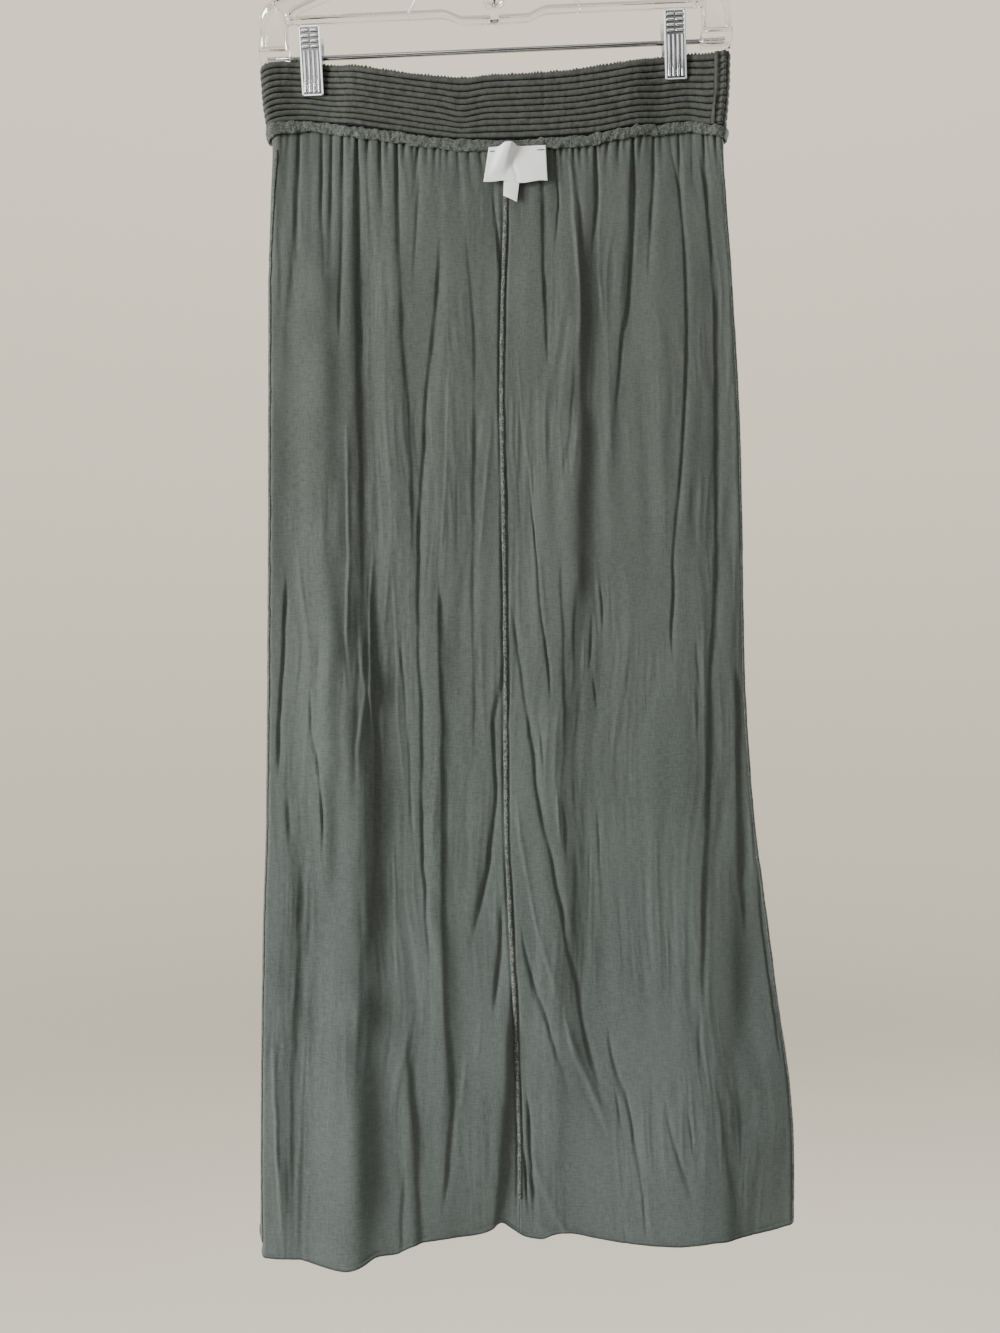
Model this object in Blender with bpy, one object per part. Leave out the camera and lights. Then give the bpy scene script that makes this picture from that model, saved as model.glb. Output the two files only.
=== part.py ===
"""Maxi skirt of thin woven cloth, turned inside out, clipped by its waistband to a clear hanger.

The back of the skirt faces -Y and is called near; the front lies behind it and is called far.
The origin is the point where the hanger's hook hangs. Sizes are in millimetres, "down" is the
distance below the origin, and the meshes are written in metres.
"""

import math
from collections import namedtuple

import bpy
import numpy as np

MM = 0.001

# ---- driving dimensions, cloth ----
GAP = 0.3
WALL = 1.3
HEM_WALL = 2.3
CORNER_ROUND = 5.0
SEAM_SHARE = 0.45
GATHERS = 40
BAND_WALL = 1.2
RIBS = 10
RIB_HEIGHT = 1.3
PINCHED = 0.95
PINCH_HALF = 10.0
PINCH_FADE = 28.0
SEAM_STRIP = 4.4
SEAM_FLAT = 7.0
SIDE_STRIP = 4.5
STRIP_HEIGHT = 1.3
ROLL_DROP = 12.0
LABEL_WALL = 1.0

# ---- driving dimensions, hanger ----
TILT = math.radians(2.55)
BAR_DOWN = 177.0
BAR_RADIUS = 1.9
BAR_HALF = 187.0
RUNNING_GAP = 0.3
WIRE_RADIUS = 1.65
HOOK_RADIUS = 22.0
STEM_END = 142.0
FRAME_DEPTH = 10.0
FLANGE = 2.0
WEB = 2.0
LEG_INNER = 170.5
LEG_OUTER = 192.5
LEG_END = 169.5
SOCKET_END = 180.5
RAIL_DOWN = 143.5
RAIL_HEIGHT = 4.1
RAIL_DIP = 6.1
RING_DOWN = 133.5
CLIP_X = (-150.9, 145.7)
CLIP_WIDTH = 17.0
CLIP_ABOVE = 20.5
CLIP_BELOW = 32.5
CLIP_TOP_Y = 8.5
CLIP_JAW_Y = 3.2
PLATE = 1.1

Station = namedtuple("Station", "down left left_far seam right right_far near_corner far_corner")
OUTLINE = [
    Station(178, -183.0, -183.0, 16.0, 197.0, 197.0, 3.0, 3.0),
    Station(215, -181.0, -181.0, 16.0, 196.0, 196.0, 3.0, 3.0),
    Station(240, -177.0, -178.0, 16.0, 193.5, 194.0, 3.5, 3.5),
    Station(256, -172.5, -175.5, 16.0, 192.5, 193.5, 4.0, 4.0),
    Station(300, -174.5, -176.5, 16.0, 195.0, 194.5, 4.5, 4.5),
    Station(382, -176.6, -178.0, 13.5, 200.5, 199.0, 5.0, 5.0),
    Station(470, -176.6, -178.0, 12.7, 205.3, 203.0, 5.0, 5.5),
    Station(555, -176.6, -178.0, 14.3, 207.4, 205.0, 5.5, 6.0),
    Station(700, -177.3, -179.0, 15.8, 210.6, 208.0, 6.0, 7.0),
    Station(808, -177.6, -180.0, 16.5, 218.0, 215.0, 6.5, 8.0),
    Station(891, -179.5, -181.5, 20.0, 228.6, 225.5, 7.0, 8.5),
    Station(955, -180.3, -182.5, 23.3, 236.4, 233.5, 7.0, 9.0),
    Station(1016, -180.8, -183.5, 25.3, 245.0, 242.0, 7.0, 9.5),
    Station(1077, -180.8, -186.5, 27.3, 248.6, 246.0, 7.5, 10.0),
    Station(1155, -179.8, -188.0, 27.0, 248.2, 246.0, 8.0, 11.0),
]

# How far each layer stands out from the middle plane, at its edges, its two lobes and its middle.
Lobes = namedtuple("Lobes", "down left left_lobe middle right_lobe right")
NEAR_LOBES = [
    Lobes(178, 4, 6, 7, 6, 4),
    Lobes(254, 6, 7, 8, 7, 6),
    Lobes(300, 8, 9, 9, 9, 8),
    Lobes(400, 10, 12, 10, 12, 9),
    Lobes(600, 12, 16, 12, 15, 11),
    Lobes(800, 13, 21, 12, 19, 11),
    Lobes(950, 14, 27, 12, 24, 11),
    Lobes(1060, 15, 34, 12, 29, 12),
    Lobes(1155, 16, 40, 12, 34, 12),
]
NEAR_LOBE_AT = (0.0, 0.17, SEAM_SHARE, 0.83, 1.0)
FAR_LOBES = [
    Lobes(178, 4, 6, 6, 6, 4),
    Lobes(254, 5, 6, 7, 6, 5),
    Lobes(300, 7, 8, 8, 8, 7),
    Lobes(400, 9, 10, 10, 10, 9),
    Lobes(600, 11, 13, 12, 13, 11),
    Lobes(800, 13, 15, 13, 15, 13),
    Lobes(950, 14, 15, 14, 17, 15),
    Lobes(1060, 14, 15, 13, 20, 18),
    Lobes(1155, 14, 14, 12, 22, 24),
]
FAR_LOBE_AT = (0.0, 0.2, 0.5, 0.8, 1.0)

# The waistband's two edges.
Waist = namedtuple("Waist", "x top seam")
WAIST = [
    Waist(-184, 192.5, 243.0),
    Waist(-172, 189.4, 239.5),
    Waist(-152, 187.8, 236.5),
    Waist(-133, 190.0, 238.0),
    Waist(-103, 194.0, 243.0),
    Waist(-70, 199.0, 248.0),
    Waist(-38, 203.0, 252.5),
    Waist(-17, 204.0, 254.0),
    Waist(3, 202.0, 254.0),
    Waist(27, 201.0, 253.5),
    Waist(60, 198.5, 251.5),
    Waist(92, 194.0, 248.5),
    Waist(125, 188.0, 241.5),
    Waist(145, 183.5, 239.0),
    Waist(165, 181.5, 237.0),
    Waist(184, 182.0, 241.0),
    Waist(197, 180.0, 241.5),
]

Hem = namedtuple("Hem", "x near far")
HEM = [
    Hem(-190, 1151.0, 1147.5),
    Hem(-173, 1152.0, 1149.0),
    Hem(-140, 1150.5, 1148.5),
    Hem(-107, 1152.5, 1147.5),
    Hem(-82, 1147.5, 1146.5),
    Hem(-50, 1143.5, 1144.5),
    Hem(-6, 1140.5, 1142.5),
    Hem(12, 1137.0, 1141.0),
    Hem(39, 1141.0, 1139.5),
    Hem(62, 1138.5, 1138.5),
    Hem(95, 1138.5, 1137.0),
    Hem(152, 1138.0, 1137.0),
    Hem(188, 1136.0, 1134.0),
    Hem(227, 1133.5, 1130.5),
    Hem(250, 1135.5, 1131.0),
]

# A fold is a soft trough between two heights, with its middle at five even steps down its length.
# A negative depth is a ridge.
Fold = namedtuple("Fold", "top low x_top x_upper x_mid x_lower x_low width depth fade_top fade_low")
NEAR_FOLDS = [
    Fold(300, 1190, -105, -104, -89, -92, -100, 9.5, 8.5, 90, 10),
    Fold(430, 640, -160, -161, -162, -163, -164, 7.0, 2.5, 60, 60),
    Fold(410, 750, -127, -126, -125, -124, -122, 11.0, 3.0, 90, 90),
    Fold(680, 980, -37, -34, -32, -30, -28, 9.0, 3.0, 80, 80),
    Fold(680, 930, 5, 6, 1, -7, -16, 7.0, 3.0, 60, 60),
    Fold(1000, 1190, -160, -159, -158, -160, -163, 6.5, 5.0, 60, 10),
    Fold(1010, 1190, -59, -58, -57, -58, -58, 6.5, 4.5, 60, 10),
    Fold(950, 1110, -30, -29, -28, -27, -26, 6.0, 3.0, 50, 50),
    Fold(290, 810, 89, 81, 78, 69, 61, 8.5, 6.0, 70, 130),
    Fold(260, 590, 118, 113, 108, 102, 92, 7.0, 3.5, 30, 90),
    Fold(280, 650, 153, 160, 160, 155, 151, 8.0, 3.5, 60, 100),
    Fold(280, 880, 176, 184, 184, 180, 175, 8.0, 4.0, 60, 120),
    Fold(290, 740, 46, 47, 50, 55, 61, 7.0, 3.0, 50, 110),
    Fold(740, 940, 33, 41, 48, 56, 66, 7.0, 3.0, 50, 60),
    Fold(950, 1085, 54, 67, 80, 91, 102, 7.0, 4.0, 40, 50),
    Fold(960, 1190, 98, 103, 114, 123, 127, 7.5, 4.0, 60, 10),
    Fold(1050, 1130, 151, 155, 158, 161, 165, 6.0, 2.5, 30, 30),
    Fold(900, 1190, 188, 192, 196, 201, 204, 10.0, 5.0, 120, 20),
    Fold(1000, 1190, 18, 15, 12, 10, 9, 8.0, 5.0, 90, 10),
    Fold(1065, 1160, 31, 36, 44, 54, 66, 6.0, 3.5, 30, 30),
    Fold(540, 1010, 203, 204, 205, 205, 206, 10.0, -4.0, 120, 90),
]
FAR_FOLDS = [
    Fold(280, 760, -150, -152, -148, -144, -146, 9.0, 4.0, 60, 140),
    Fold(560, 1190, -118, -122, -126, -124, -120, 10.0, 5.0, 140, 20),
    Fold(300, 820, -96, -92, -95, -101, -98, 8.5, 5.0, 80, 140),
    Fold(850, 1190, -78, -76, -80, -84, -82, 9.0, 4.5, 90, 20),
    Fold(290, 640, -52, -50, -47, -48, -52, 8.0, 3.5, 60, 110),
    Fold(620, 1060, -24, -28, -30, -26, -20, 9.5, 4.0, 120, 110),
    Fold(300, 900, 8, 12, 14, 10, 4, 9.0, 6.0, 80, 160),
    Fold(900, 1190, 24, 28, 34, 38, 40, 9.0, 5.0, 80, 20),
    Fold(280, 600, 52, 56, 54, 50, 52, 8.0, 3.5, 50, 100),
    Fold(540, 1190, 86, 82, 86, 94, 98, 10.0, 5.5, 140, 20),
    Fold(290, 760, 116, 120, 124, 120, 114, 8.5, 4.5, 70, 140),
    Fold(760, 1190, 148, 152, 158, 162, 160, 10.0, 5.0, 120, 20),
    Fold(280, 700, 168, 172, 176, 174, 170, 8.0, 3.5, 60, 120),
    Fold(820, 1190, 196, 202, 208, 212, 214, 9.0, 4.0, 110, 20),
]

# The rows of a panel, as drops below its top edge on a panel of nominal length.
PANEL_ROWS = (0, 12, 20, 34, 60, 100, 160, 240, 330, 420, 510, 600, 690, 775, 845, 893, 900)
COARSE_ROW = 4
STRIP_ROW = 3


# ---- curves and tables ----
def smooth(stations, values, at):
    """Values on a monotone cubic curve through the stations."""
    stations = np.asarray(stations, float)
    values = np.asarray(values, float)
    step = np.diff(stations)
    slope = np.diff(values) / step
    tangent = np.concatenate([[slope[0]], (slope[1:] + slope[:-1]) / 2, [slope[-1]]])
    limit = 3 * np.minimum(abs(slope[1:]), abs(slope[:-1]))
    tangent[1:-1] = np.where(slope[1:] * slope[:-1] > 0, np.clip(tangent[1:-1], -limit, limit), 0)
    at = np.asarray(at, float)
    i = np.clip(np.searchsorted(stations, at, side="right") - 1, 0, len(step) - 1)
    u = np.clip((at - stations[i]) / step[i], 0, 1)
    start = (1 + 2 * u) * (1 - u) ** 2 * values[i] + u * (1 - u) ** 2 * step[i] * tangent[i]
    end = u * u * (3 - 2 * u) * values[i + 1] - u * u * (1 - u) * step[i] * tangent[i + 1]
    return start + end


def column(table, name):
    """One named column of a table."""
    return [getattr(row, name) for row in table]


def outline(name, down):
    """A column of the skirt's outline at the given heights."""
    return smooth(column(OUTLINE, "down"), column(OUTLINE, name), down)


def ease(share):
    """A soft step from 0 to 1."""
    share = np.clip(share, 0, 1)
    return share * share * (3 - 2 * share)


def lobe_depth(table, stations, share, down):
    """Depth of a layer before folds, at a share of the width and a height."""
    heights = column(table, "down")
    values = np.stack([smooth(heights, column(table, name), down) for name in Lobes._fields[1:]])
    i = np.clip(np.searchsorted(stations, share, side="right") - 1, 0, len(stations) - 2)
    stations = np.asarray(stations)
    weight = (1 - np.cos(math.pi * (share - stations[i]) / (stations[i + 1] - stations[i]))) / 2
    low = np.take_along_axis(values, i[None], 0)[0]
    high = np.take_along_axis(values, i[None] + 1, 0)[0]
    return low * (1 - weight) + high * weight


def fold_depth(folds, x, down):
    """Depth of all the folds of a layer together."""
    total = np.zeros_like(x)
    for fold in folds:
        along = (down - fold.top) / (fold.low - fold.top)
        middle = smooth((0, 0.25, 0.5, 0.75, 1), fold[2:7], along)
        fade = ease((down - fold.top) / fold.fade_top) * ease((fold.low - down) / fold.fade_low)
        across = ((x - middle) / fold.width) ** 2
        total += fold.depth * fade * (1 - 0.8 * across) * np.exp(-across)
    return total


def gather_turns(share, far):
    """Number of gathers from the left edge to a share of the width."""
    slow, fast = (1.9, 6.3) if far else (2.3, 7.1)
    wander = 0.5 * np.sin(math.tau * slow * share + 0.4) + 0.2 * np.sin(math.tau * fast * share)
    return GATHERS * share + wander


def gather_depth(share, drop, far):
    """Depth of the gathers, which start under the waist seam and fade downwards."""
    fade = smooth((0, 12, 22, 50, 90, 150, 240, 330), (0, 0.05, 1, 0.85, 0.55, 0.28, 0.1, 0), drop)
    size = 1.3 + 0.45 * np.sin(math.tau * 5.3 * share + 1) + 0.3 * np.sin(math.tau * 11.9 * share)
    return size * fade * np.sin(math.tau * gather_turns(share, far))


def pinch(x, down):
    """1 where a clip presses the two layers together, fading to 0 around it."""
    height = smooth((178, 216, 240, 256, 300, 370), (1, 1, 0.75, 0.5, 0.2, 0), down)
    total = np.zeros_like(x)
    for clip_x in CLIP_X:
        middle = clip_x * math.cos(TILT) + BAR_DOWN * math.sin(TILT) + 1.5
        total = np.maximum(total, 1 - ease((abs(x - middle) - PINCH_HALF) / PINCH_FADE))
    return total * height


# ---- the surface of the skirt ----
def width_at(share, down, far):
    """X at a share of a layer's width."""
    left = outline("left_far" if far else "left", down)
    right = outline("right_far" if far else "right", down)
    seam = left + (right - left) * SEAM_SHARE if far else outline("seam", down)
    left_part = left + (seam - left) * share / SEAM_SHARE
    right_part = seam + (right - seam) * (share - SEAM_SHARE) / (1 - SEAM_SHARE)
    return np.where(share < SEAM_SHARE, left_part, right_part), left, right


def layer_point(share, down, far, gathered=True, folded=True):
    """Middle of the wall of one layer, as an array of X, Y, -down."""
    share, down = np.broadcast_arrays(np.asarray(share, float), np.asarray(down, float))
    x, left, right = width_at(share, down, far)
    lobes = (FAR_LOBES, FAR_LOBE_AT) if far else (NEAR_LOBES, NEAR_LOBE_AT)
    base = lobe_depth(*lobes, share, down)
    corner = outline("far_corner" if far else "near_corner", down)
    inset = np.clip(np.minimum(x - left, right - x) / CORNER_ROUND, 0, 1)
    round_off = np.sqrt(np.clip(1 - (1 - inset) ** 2, 0, 1))
    depth = corner + (base - corner) * round_off
    if folded:
        depth = depth - round_off * fold_depth(FAR_FOLDS if far else NEAR_FOLDS, x, down)
    if gathered:
        drop = np.clip(down - smooth(column(WAIST, "x"), column(WAIST, "seam"), x), 0, 1000)
        flat = 0 if far else 0.85 * np.exp(-(((x - outline("seam", down)) / SEAM_FLAT) ** 2))
        depth = depth + round_off * (1 - flat) * gather_depth(share, drop, far)
    held = pinch(x, down)
    depth = depth * (1 - held) + PINCHED * held
    return np.stack([x, depth if far else -depth, -down], -1)


def side_point(across, down, right):
    """Middle of the wall that turns round a side, from the near corner (0) to the far one (1)."""
    share = np.full_like(np.asarray(down, float), 1.0 if right else 0.0)
    near = layer_point(share, down, False)
    far = layer_point(share, down, True)
    across = np.asarray(across, float)[..., None]
    point = near + (far - near) * across
    bulge = (1.2 if right else -1.2) * np.sin(math.pi * across[..., 0])
    point[..., 0] += bulge
    return point


# A place on the ring round the skirt: which stretch it is on, and how far along that.
Place = namedtuple("Place", "stretch along shift")


def ring_point(place, down):
    """Middle of the wall at a place of the ring."""
    down = np.asarray(down, float)
    if place.stretch in ("near", "far"):
        return layer_point(np.full_like(down, place.along), down, place.stretch == "far")
    return side_point(np.full_like(down, place.along), down, place.stretch == "right")


def ring_tangent(place, down):
    """Direction round the ring, from the near layer's left to its right and on round the back."""
    if place.along in (0.0, 1.0):
        right = place.stretch == "right" or (place.stretch != "left" and place.along == 1.0)
        return np.broadcast_to((0.0, 1.0 if right else -1.0, 0.0), (len(down), 3))
    step = {"near": 0.0012, "far": -0.0012, "right": 0.1, "left": -0.1}[place.stretch]
    before = ring_point(place._replace(along=place.along - step), down)
    return ring_point(place._replace(along=place.along + step), down) - before


def sheet_points(places, downs):
    """Middle points and outward directions of a sheet, with a row for each height.

    places is a list of Place, and downs an array of heights with a column for each place.
    """
    rows, count = downs.shape
    middle = np.zeros((rows, count, 3))
    outward = np.zeros((rows, count, 3))
    for k, place in enumerate(places):
        down = downs[:, k]
        tangent = ring_tangent(place, down)
        tangent = tangent / np.linalg.norm(tangent, axis=1, keepdims=True)
        fall = ring_point(place, down + 1) - ring_point(place, down - 1)
        normal = -np.cross(tangent, fall)
        middle[:, k] = ring_point(place, down) + tangent * place.shift
        outward[:, k] = normal / np.linalg.norm(normal, axis=1, keepdims=True)
    return middle, outward


# ---- places round the ring ----
def gather_places(far):
    """Shares of the width where a gather stands highest or lies deepest."""
    share = np.linspace(0, 1, 8001)
    turns = gather_turns(share, far)
    wanted = np.arange(math.ceil(turns[0] * 2) / 2 + 0.25, turns[-1], 0.5)
    return np.interp(wanted, turns, share)


def kept(shares, low, high, least):
    """The shares that lie inside a stretch, clear of its two ends."""
    return [float(s) for s in shares if low + least < s < high - least]


def even_inside(start, inside, end):
    """The stretch's ends and an odd number of places between them, so that halves meet."""
    if len(inside) % 2 == 0:
        middle = len(inside) // 2
        inside = inside[:middle] + [(inside[middle - 1] + inside[middle]) / 2] + inside[middle:]
    return start + inside + end


TOTAL = 385.0
EDGE_STEPS = (1.5 / TOTAL, SIDE_STRIP / TOTAL)
STRIP_SHARE = SEAM_STRIP / 2 / TOTAL
NEAR_GATHERS = gather_places(False)
FAR_GATHERS = gather_places(True)
HALF_GAP = GAP / 2
BAND_SEAM_SHARES = (0.945, 0.957, 0.968, 0.979, 1 - EDGE_STEPS[1])
LEFT_CLIP_SHARES = (0.063, 0.088, 0.114)
RIGHT_CLIP_SHARES = (0.840, 0.875, 0.909)
NEAR_BAND_SHARES = (
    *(EDGE_STEPS[1], 0.036, *LEFT_CLIP_SHARES, 0.15, 0.20, 0.25, 0.30, 0.35, 0.40, 0.45),
    *(0.50, 0.56, 0.62, 0.68, 0.74, 0.80, *RIGHT_CLIP_SHARES, *BAND_SEAM_SHARES),
)
FAR_BAND_SHARES = (
    *(EDGE_STEPS[1], 0.04, 0.073, 0.103, 0.133, 0.18, 0.25, 0.33, 0.42, 0.51, 0.60, 0.69),
    *(0.77, 0.83, 0.863, 0.893, 0.923, 0.96, 1 - EDGE_STEPS[1]),
)


def near_left_places():
    """Places of the left back panel, from the side seam to the centre seam."""
    inside = kept(NEAR_GATHERS, EDGE_STEPS[1], SEAM_SHARE - STRIP_SHARE, 0.005)
    shares = even_inside([0.0, *EDGE_STEPS], inside, [SEAM_SHARE - STRIP_SHARE, SEAM_SHARE])
    places = [Place("near", share, 0.0) for share in shares]
    places[0] = places[0]._replace(shift=HALF_GAP)
    places[-1] = places[-1]._replace(shift=-HALF_GAP)
    return places


def near_right_places():
    """Places of the right back panel, from the centre seam to the side seam."""
    inside = kept(NEAR_GATHERS, SEAM_SHARE + STRIP_SHARE, 1 - EDGE_STEPS[1], 0.005)
    ends = [1 - EDGE_STEPS[1], 1 - EDGE_STEPS[0], 1.0]
    shares = even_inside([SEAM_SHARE, SEAM_SHARE + STRIP_SHARE], inside, ends)
    places = [Place("near", share, 0.0) for share in shares]
    places[0] = places[0]._replace(shift=HALF_GAP)
    places[-1] = places[-1]._replace(shift=-HALF_GAP)
    return places


def front_places():
    """Places of the front panel, which turns round both sides to meet the back panels."""
    inside = kept(FAR_GATHERS, EDGE_STEPS[1], 1 - EDGE_STEPS[1], 0.005)
    ends = [1 - EDGE_STEPS[1], 1 - EDGE_STEPS[0]]
    shares = even_inside(list(EDGE_STEPS), inside, ends)
    places = [Place("right", 0.0, HALF_GAP), Place("right", 0.5, 0.0), Place("right", 1.0, 0.0)]
    places += [Place("far", share, 0.0) for share in reversed(shares)]
    places += [Place("left", 1.0, 0.0), Place("left", 0.5, 0.0), Place("left", 0.0, -HALF_GAP)]
    return places


def waist_down(places, name):
    """Height of the waistband's top or seam at each place, straight between the band's columns."""
    downs = []
    for place in places:
        far = place.stretch == "far"
        shares = np.array((0.0, *(FAR_BAND_SHARES if far else NEAR_BAND_SHARES), 1.0))
        stations = width_at(shares, np.full_like(shares, 240.0), far)[0]
        heights = smooth(column(WAIST, "x"), column(WAIST, name), stations)
        downs.append(np.interp(ring_point(place, np.array([240.0]))[0, 0], stations, heights))
    return np.array(downs)


def hem_down(places):
    """Height of the hem at each place."""
    downs = []
    for place in places:
        x = ring_point(place, np.array([1140.0]))[0, 0]
        near = smooth(column(HEM, "x"), column(HEM, "near"), x)
        far = smooth(column(HEM, "x"), column(HEM, "far"), x)
        share = {"near": 0.0, "far": 1.0}.get(place.stretch, place.along)
        downs.append(near * (1 - share) + far * share)
    return np.array(downs)


# ---- meshes ----
def finish(name, points, faces, material, smooth_angle=None):
    """A mesh object from points in millimetres."""
    mesh = bpy.data.meshes.new(name)
    mesh.from_pydata([tuple(co * MM for co in point) for point in points], [], faces)
    mesh.validate()
    if smooth_angle is not None:
        mesh.shade_smooth()
        mesh.set_sharp_from_angle(angle=math.radians(smooth_angle))
    mesh.materials.append(material)
    obj = bpy.data.objects.new(name, mesh)
    bpy.context.scene.collection.objects.link(obj)
    return obj


def skin_faces(ids, columns, flip, closed):
    """Triangles between rows of points; a row may keep only every second column of the one above."""
    faces = []
    for r in range(len(ids) - 1):
        upper = columns[r]
        lower = set(columns[r + 1])
        span = len(upper) if closed else len(upper) - 1
        k = 0
        while k < span:
            a, b = upper[k], upper[(k + 1) % len(upper)]
            if b in lower:
                faces.append((ids[r][a], ids[r + 1][a], ids[r + 1][b]))
                faces.append((ids[r][a], ids[r + 1][b], ids[r][b]))
                k += 1
            else:
                c = upper[(k + 2) % len(upper)]
                faces.append((ids[r][a], ids[r + 1][a], ids[r][b]))
                faces.append((ids[r][b], ids[r + 1][a], ids[r + 1][c]))
                faces.append((ids[r][b], ids[r + 1][c], ids[r][c]))
                k += 2
    return [face[::-1] for face in faces] if flip else faces


def rim_faces(outer, inner, loop, flip, closed):
    """Faces that close a wall along a row or a side."""
    pairs = list(zip(loop, loop[1:] + loop[:1])) if closed else list(zip(loop, loop[1:]))
    faces = []
    for a, b in pairs:
        faces.append((outer[a], outer[b], inner[b]))
        faces.append((outer[a], inner[b], inner[a]))
    return [face[::-1] for face in faces] if flip else faces


def slab(name, outer_points, inner_points, material, columns=None, closed=False, angle=40):
    """A closed slab between an outer and an inner sheet of points, row by row.

    columns lists the columns that each row keeps, where a sheet grows coarser downwards. The
    inner sheet may have fewer rows than the outer one if it keeps all its columns.
    """
    count = len(outer_points[0])
    every = list(range(count))
    points, sheets, kept_columns = [], [], []
    for sheet in (outer_points, inner_points):
        rows = columns or [every] * len(sheet)
        ids = []
        for row, row_columns in zip(sheet, rows):
            ids.append({k: len(points) + n for n, k in enumerate(row_columns)})
            points += [row[k] for k in row_columns]
        sheets.append(ids)
        kept_columns.append(rows)
    outer, inner = sheets
    faces = skin_faces(outer, kept_columns[0], False, closed)
    faces += skin_faces(inner, kept_columns[1], True, closed)
    faces += rim_faces(outer[0], inner[0], kept_columns[0][0], False, closed)
    faces += rim_faces(outer[-1], inner[-1], kept_columns[0][-1], True, closed)
    for k, flip in () if closed else ((0, True), (count - 1, False)):
        sides = [[ids[k] for ids in sheet] for sheet in sheets]
        faces += rim_faces(*sides, list(range(len(outer))), flip, False)
    return finish(name, points, faces, material, angle)


def wall(name, places, downs, half, material, coarse_row=None):
    """A closed wall of cloth round the points of a sheet."""
    middle, outward = sheet_points(places, downs)
    rows, count = downs.shape
    columns = [list(range(count))] * rows
    if coarse_row is not None:
        columns = columns[:coarse_row] + [list(range(0, count, 2))] * (rows - coarse_row)
    reach = half[:, None, None] * outward
    return slab(name, middle + reach, middle - reach, material, columns)


def tube(name, rings, material, closed, angle=50):
    """A tube through rings of points, each a list of the same length, in order along the tube."""
    size = len(rings[0])
    points = [point for ring in rings for point in ring]
    faces = []
    count = len(rings)
    for r in range(count if closed else count - 1):
        a, b = r * size, (r + 1) % count * size
        for k in range(size):
            n = (k + 1) % size
            faces.append((a + k, b + k, b + n))
            faces.append((a + k, b + n, a + n))
    if not closed:
        faces.append(tuple(range(size)))
        faces.append(tuple(range((count - 1) * size, count * size))[::-1])
    return finish(name, points, faces, material, angle)


# ---- cloth pieces ----
def panel_downs(places):
    """Heights of a panel's points, from just under the waistband to the hem."""
    top = waist_down(places, "seam") + GAP
    low = hem_down(places)
    share = np.array(PANEL_ROWS) / PANEL_ROWS[-1]
    return top + (low - top) * share[:, None]


def build_panels(material):
    """The two back panels and the front panel, each with a thicker hem."""
    half = np.full(len(PANEL_ROWS), WALL / 2)
    half[-1] = HEM_WALL / 2
    left, right, front = near_left_places(), near_right_places(), front_places()
    wall("back_panel_left", left, panel_downs(left), half, material)
    wall("back_panel_right", right, panel_downs(right), half, material)
    wall("front_panel", front, panel_downs(front), half, material, COARSE_ROW)


def band_places():
    """Places round the waistband."""
    places = [Place("near", share, 0.0) for share in NEAR_BAND_SHARES]
    places += [Place("right", along, 0.0) for along in (0.0, 0.5, 1.0)]
    places += [Place("far", share, 0.0) for share in reversed(FAR_BAND_SHARES)]
    places += [Place("left", along, 0.0) for along in (1.0, 0.5, 0.0)]
    return places


def rib_rows():
    """Shares of the band's height and how far the cloth stands out there."""
    rows = [(0.0, 0.4)]
    for rib in range(RIBS):
        rows += [((rib + 0.45) / RIBS, 1.0), ((rib + 1.0) / RIBS, 0.0)]
    return rows


def build_waistband(material):
    """A ring with ribs raised over a plain inside."""
    places = band_places()
    top, low = waist_down(places, "top"), waist_down(places, "seam") - GAP
    rows = rib_rows()
    share = np.array([row[0] for row in rows])
    raised = np.array([row[1] for row in rows])
    middle, outward = sheet_points(places, top + (low - top) * share[:, None])
    crest = middle + (BAND_WALL / 2 + RIB_HEIGHT * raised)[:, None, None] * outward
    plain = (middle - BAND_WALL / 2 * outward)[[0, len(rows) // 2, -1]]
    return slab("waistband", crest, plain, material, closed=True, angle=60)


def build_waistband_seam(material):
    """The band's side seam: a strip on the right, lumpy where each rib ends."""
    places = [Place("near", share, 0.0) for share in BAND_SEAM_SHARES]
    top, low = waist_down(places, "top") - 1.0, waist_down(places, "seam") - 1.0
    rows = [(rib + part) / RIBS for rib in range(RIBS) for part in (0.05, 0.5)] + [1.0]
    middle, outward = sheet_points(places, top + (low - top) * np.array(rows)[:, None])
    base = BAND_WALL / 2 + RIB_HEIGHT + GAP
    lump = np.where(np.arange(len(rows)) % 2, 1.4, 0.9)[:, None, None] * np.ones((1, len(places), 1))
    lump[:, 0] *= 0.6
    return slab("waistband_seam", middle + (base + lump) * outward, middle + base * outward, material)


# The seam roll's section, as drops below the band and distances out from the panel's middle.
ROLL_SECTION = ((0.5, 1.0), (0.5, 2.4), (3.0, 4.0), (8.0, 4.1), (ROLL_DROP - 0.4, 2.6), (11.0, 1.0))


def roll_places():
    """Places round the waist seam: every second one of the panels', and all at the sides."""
    left, right, front = near_left_places(), near_right_places(), front_places()
    near = [left[1], *left[2:-1:2], *right[1:-2:2], right[-2]]
    places = near + [Place("right", along, 0.0) for along in (0.0, 0.5, 1.0)]
    places += [front[3], *front[4:-4:2], front[-5], front[-4]]
    return places + [Place("left", along, 0.0) for along in (1.0, 0.5, 0.0)]


def build_waist_seam(material):
    """The overlocked roll that covers the joint of band and panels, all round."""
    places = roll_places()
    seam = waist_down(places, "seam")
    rings = [[] for _ in places]
    for drop, out in ROLL_SECTION:
        middle, outward = sheet_points(places, (seam + drop)[None])
        for k, ring in enumerate(rings):
            ring.append(middle[0, k] + out * outward[0, k])
    return tube("waist_seam", [ring[::-1] for ring in rings], material, True)


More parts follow.
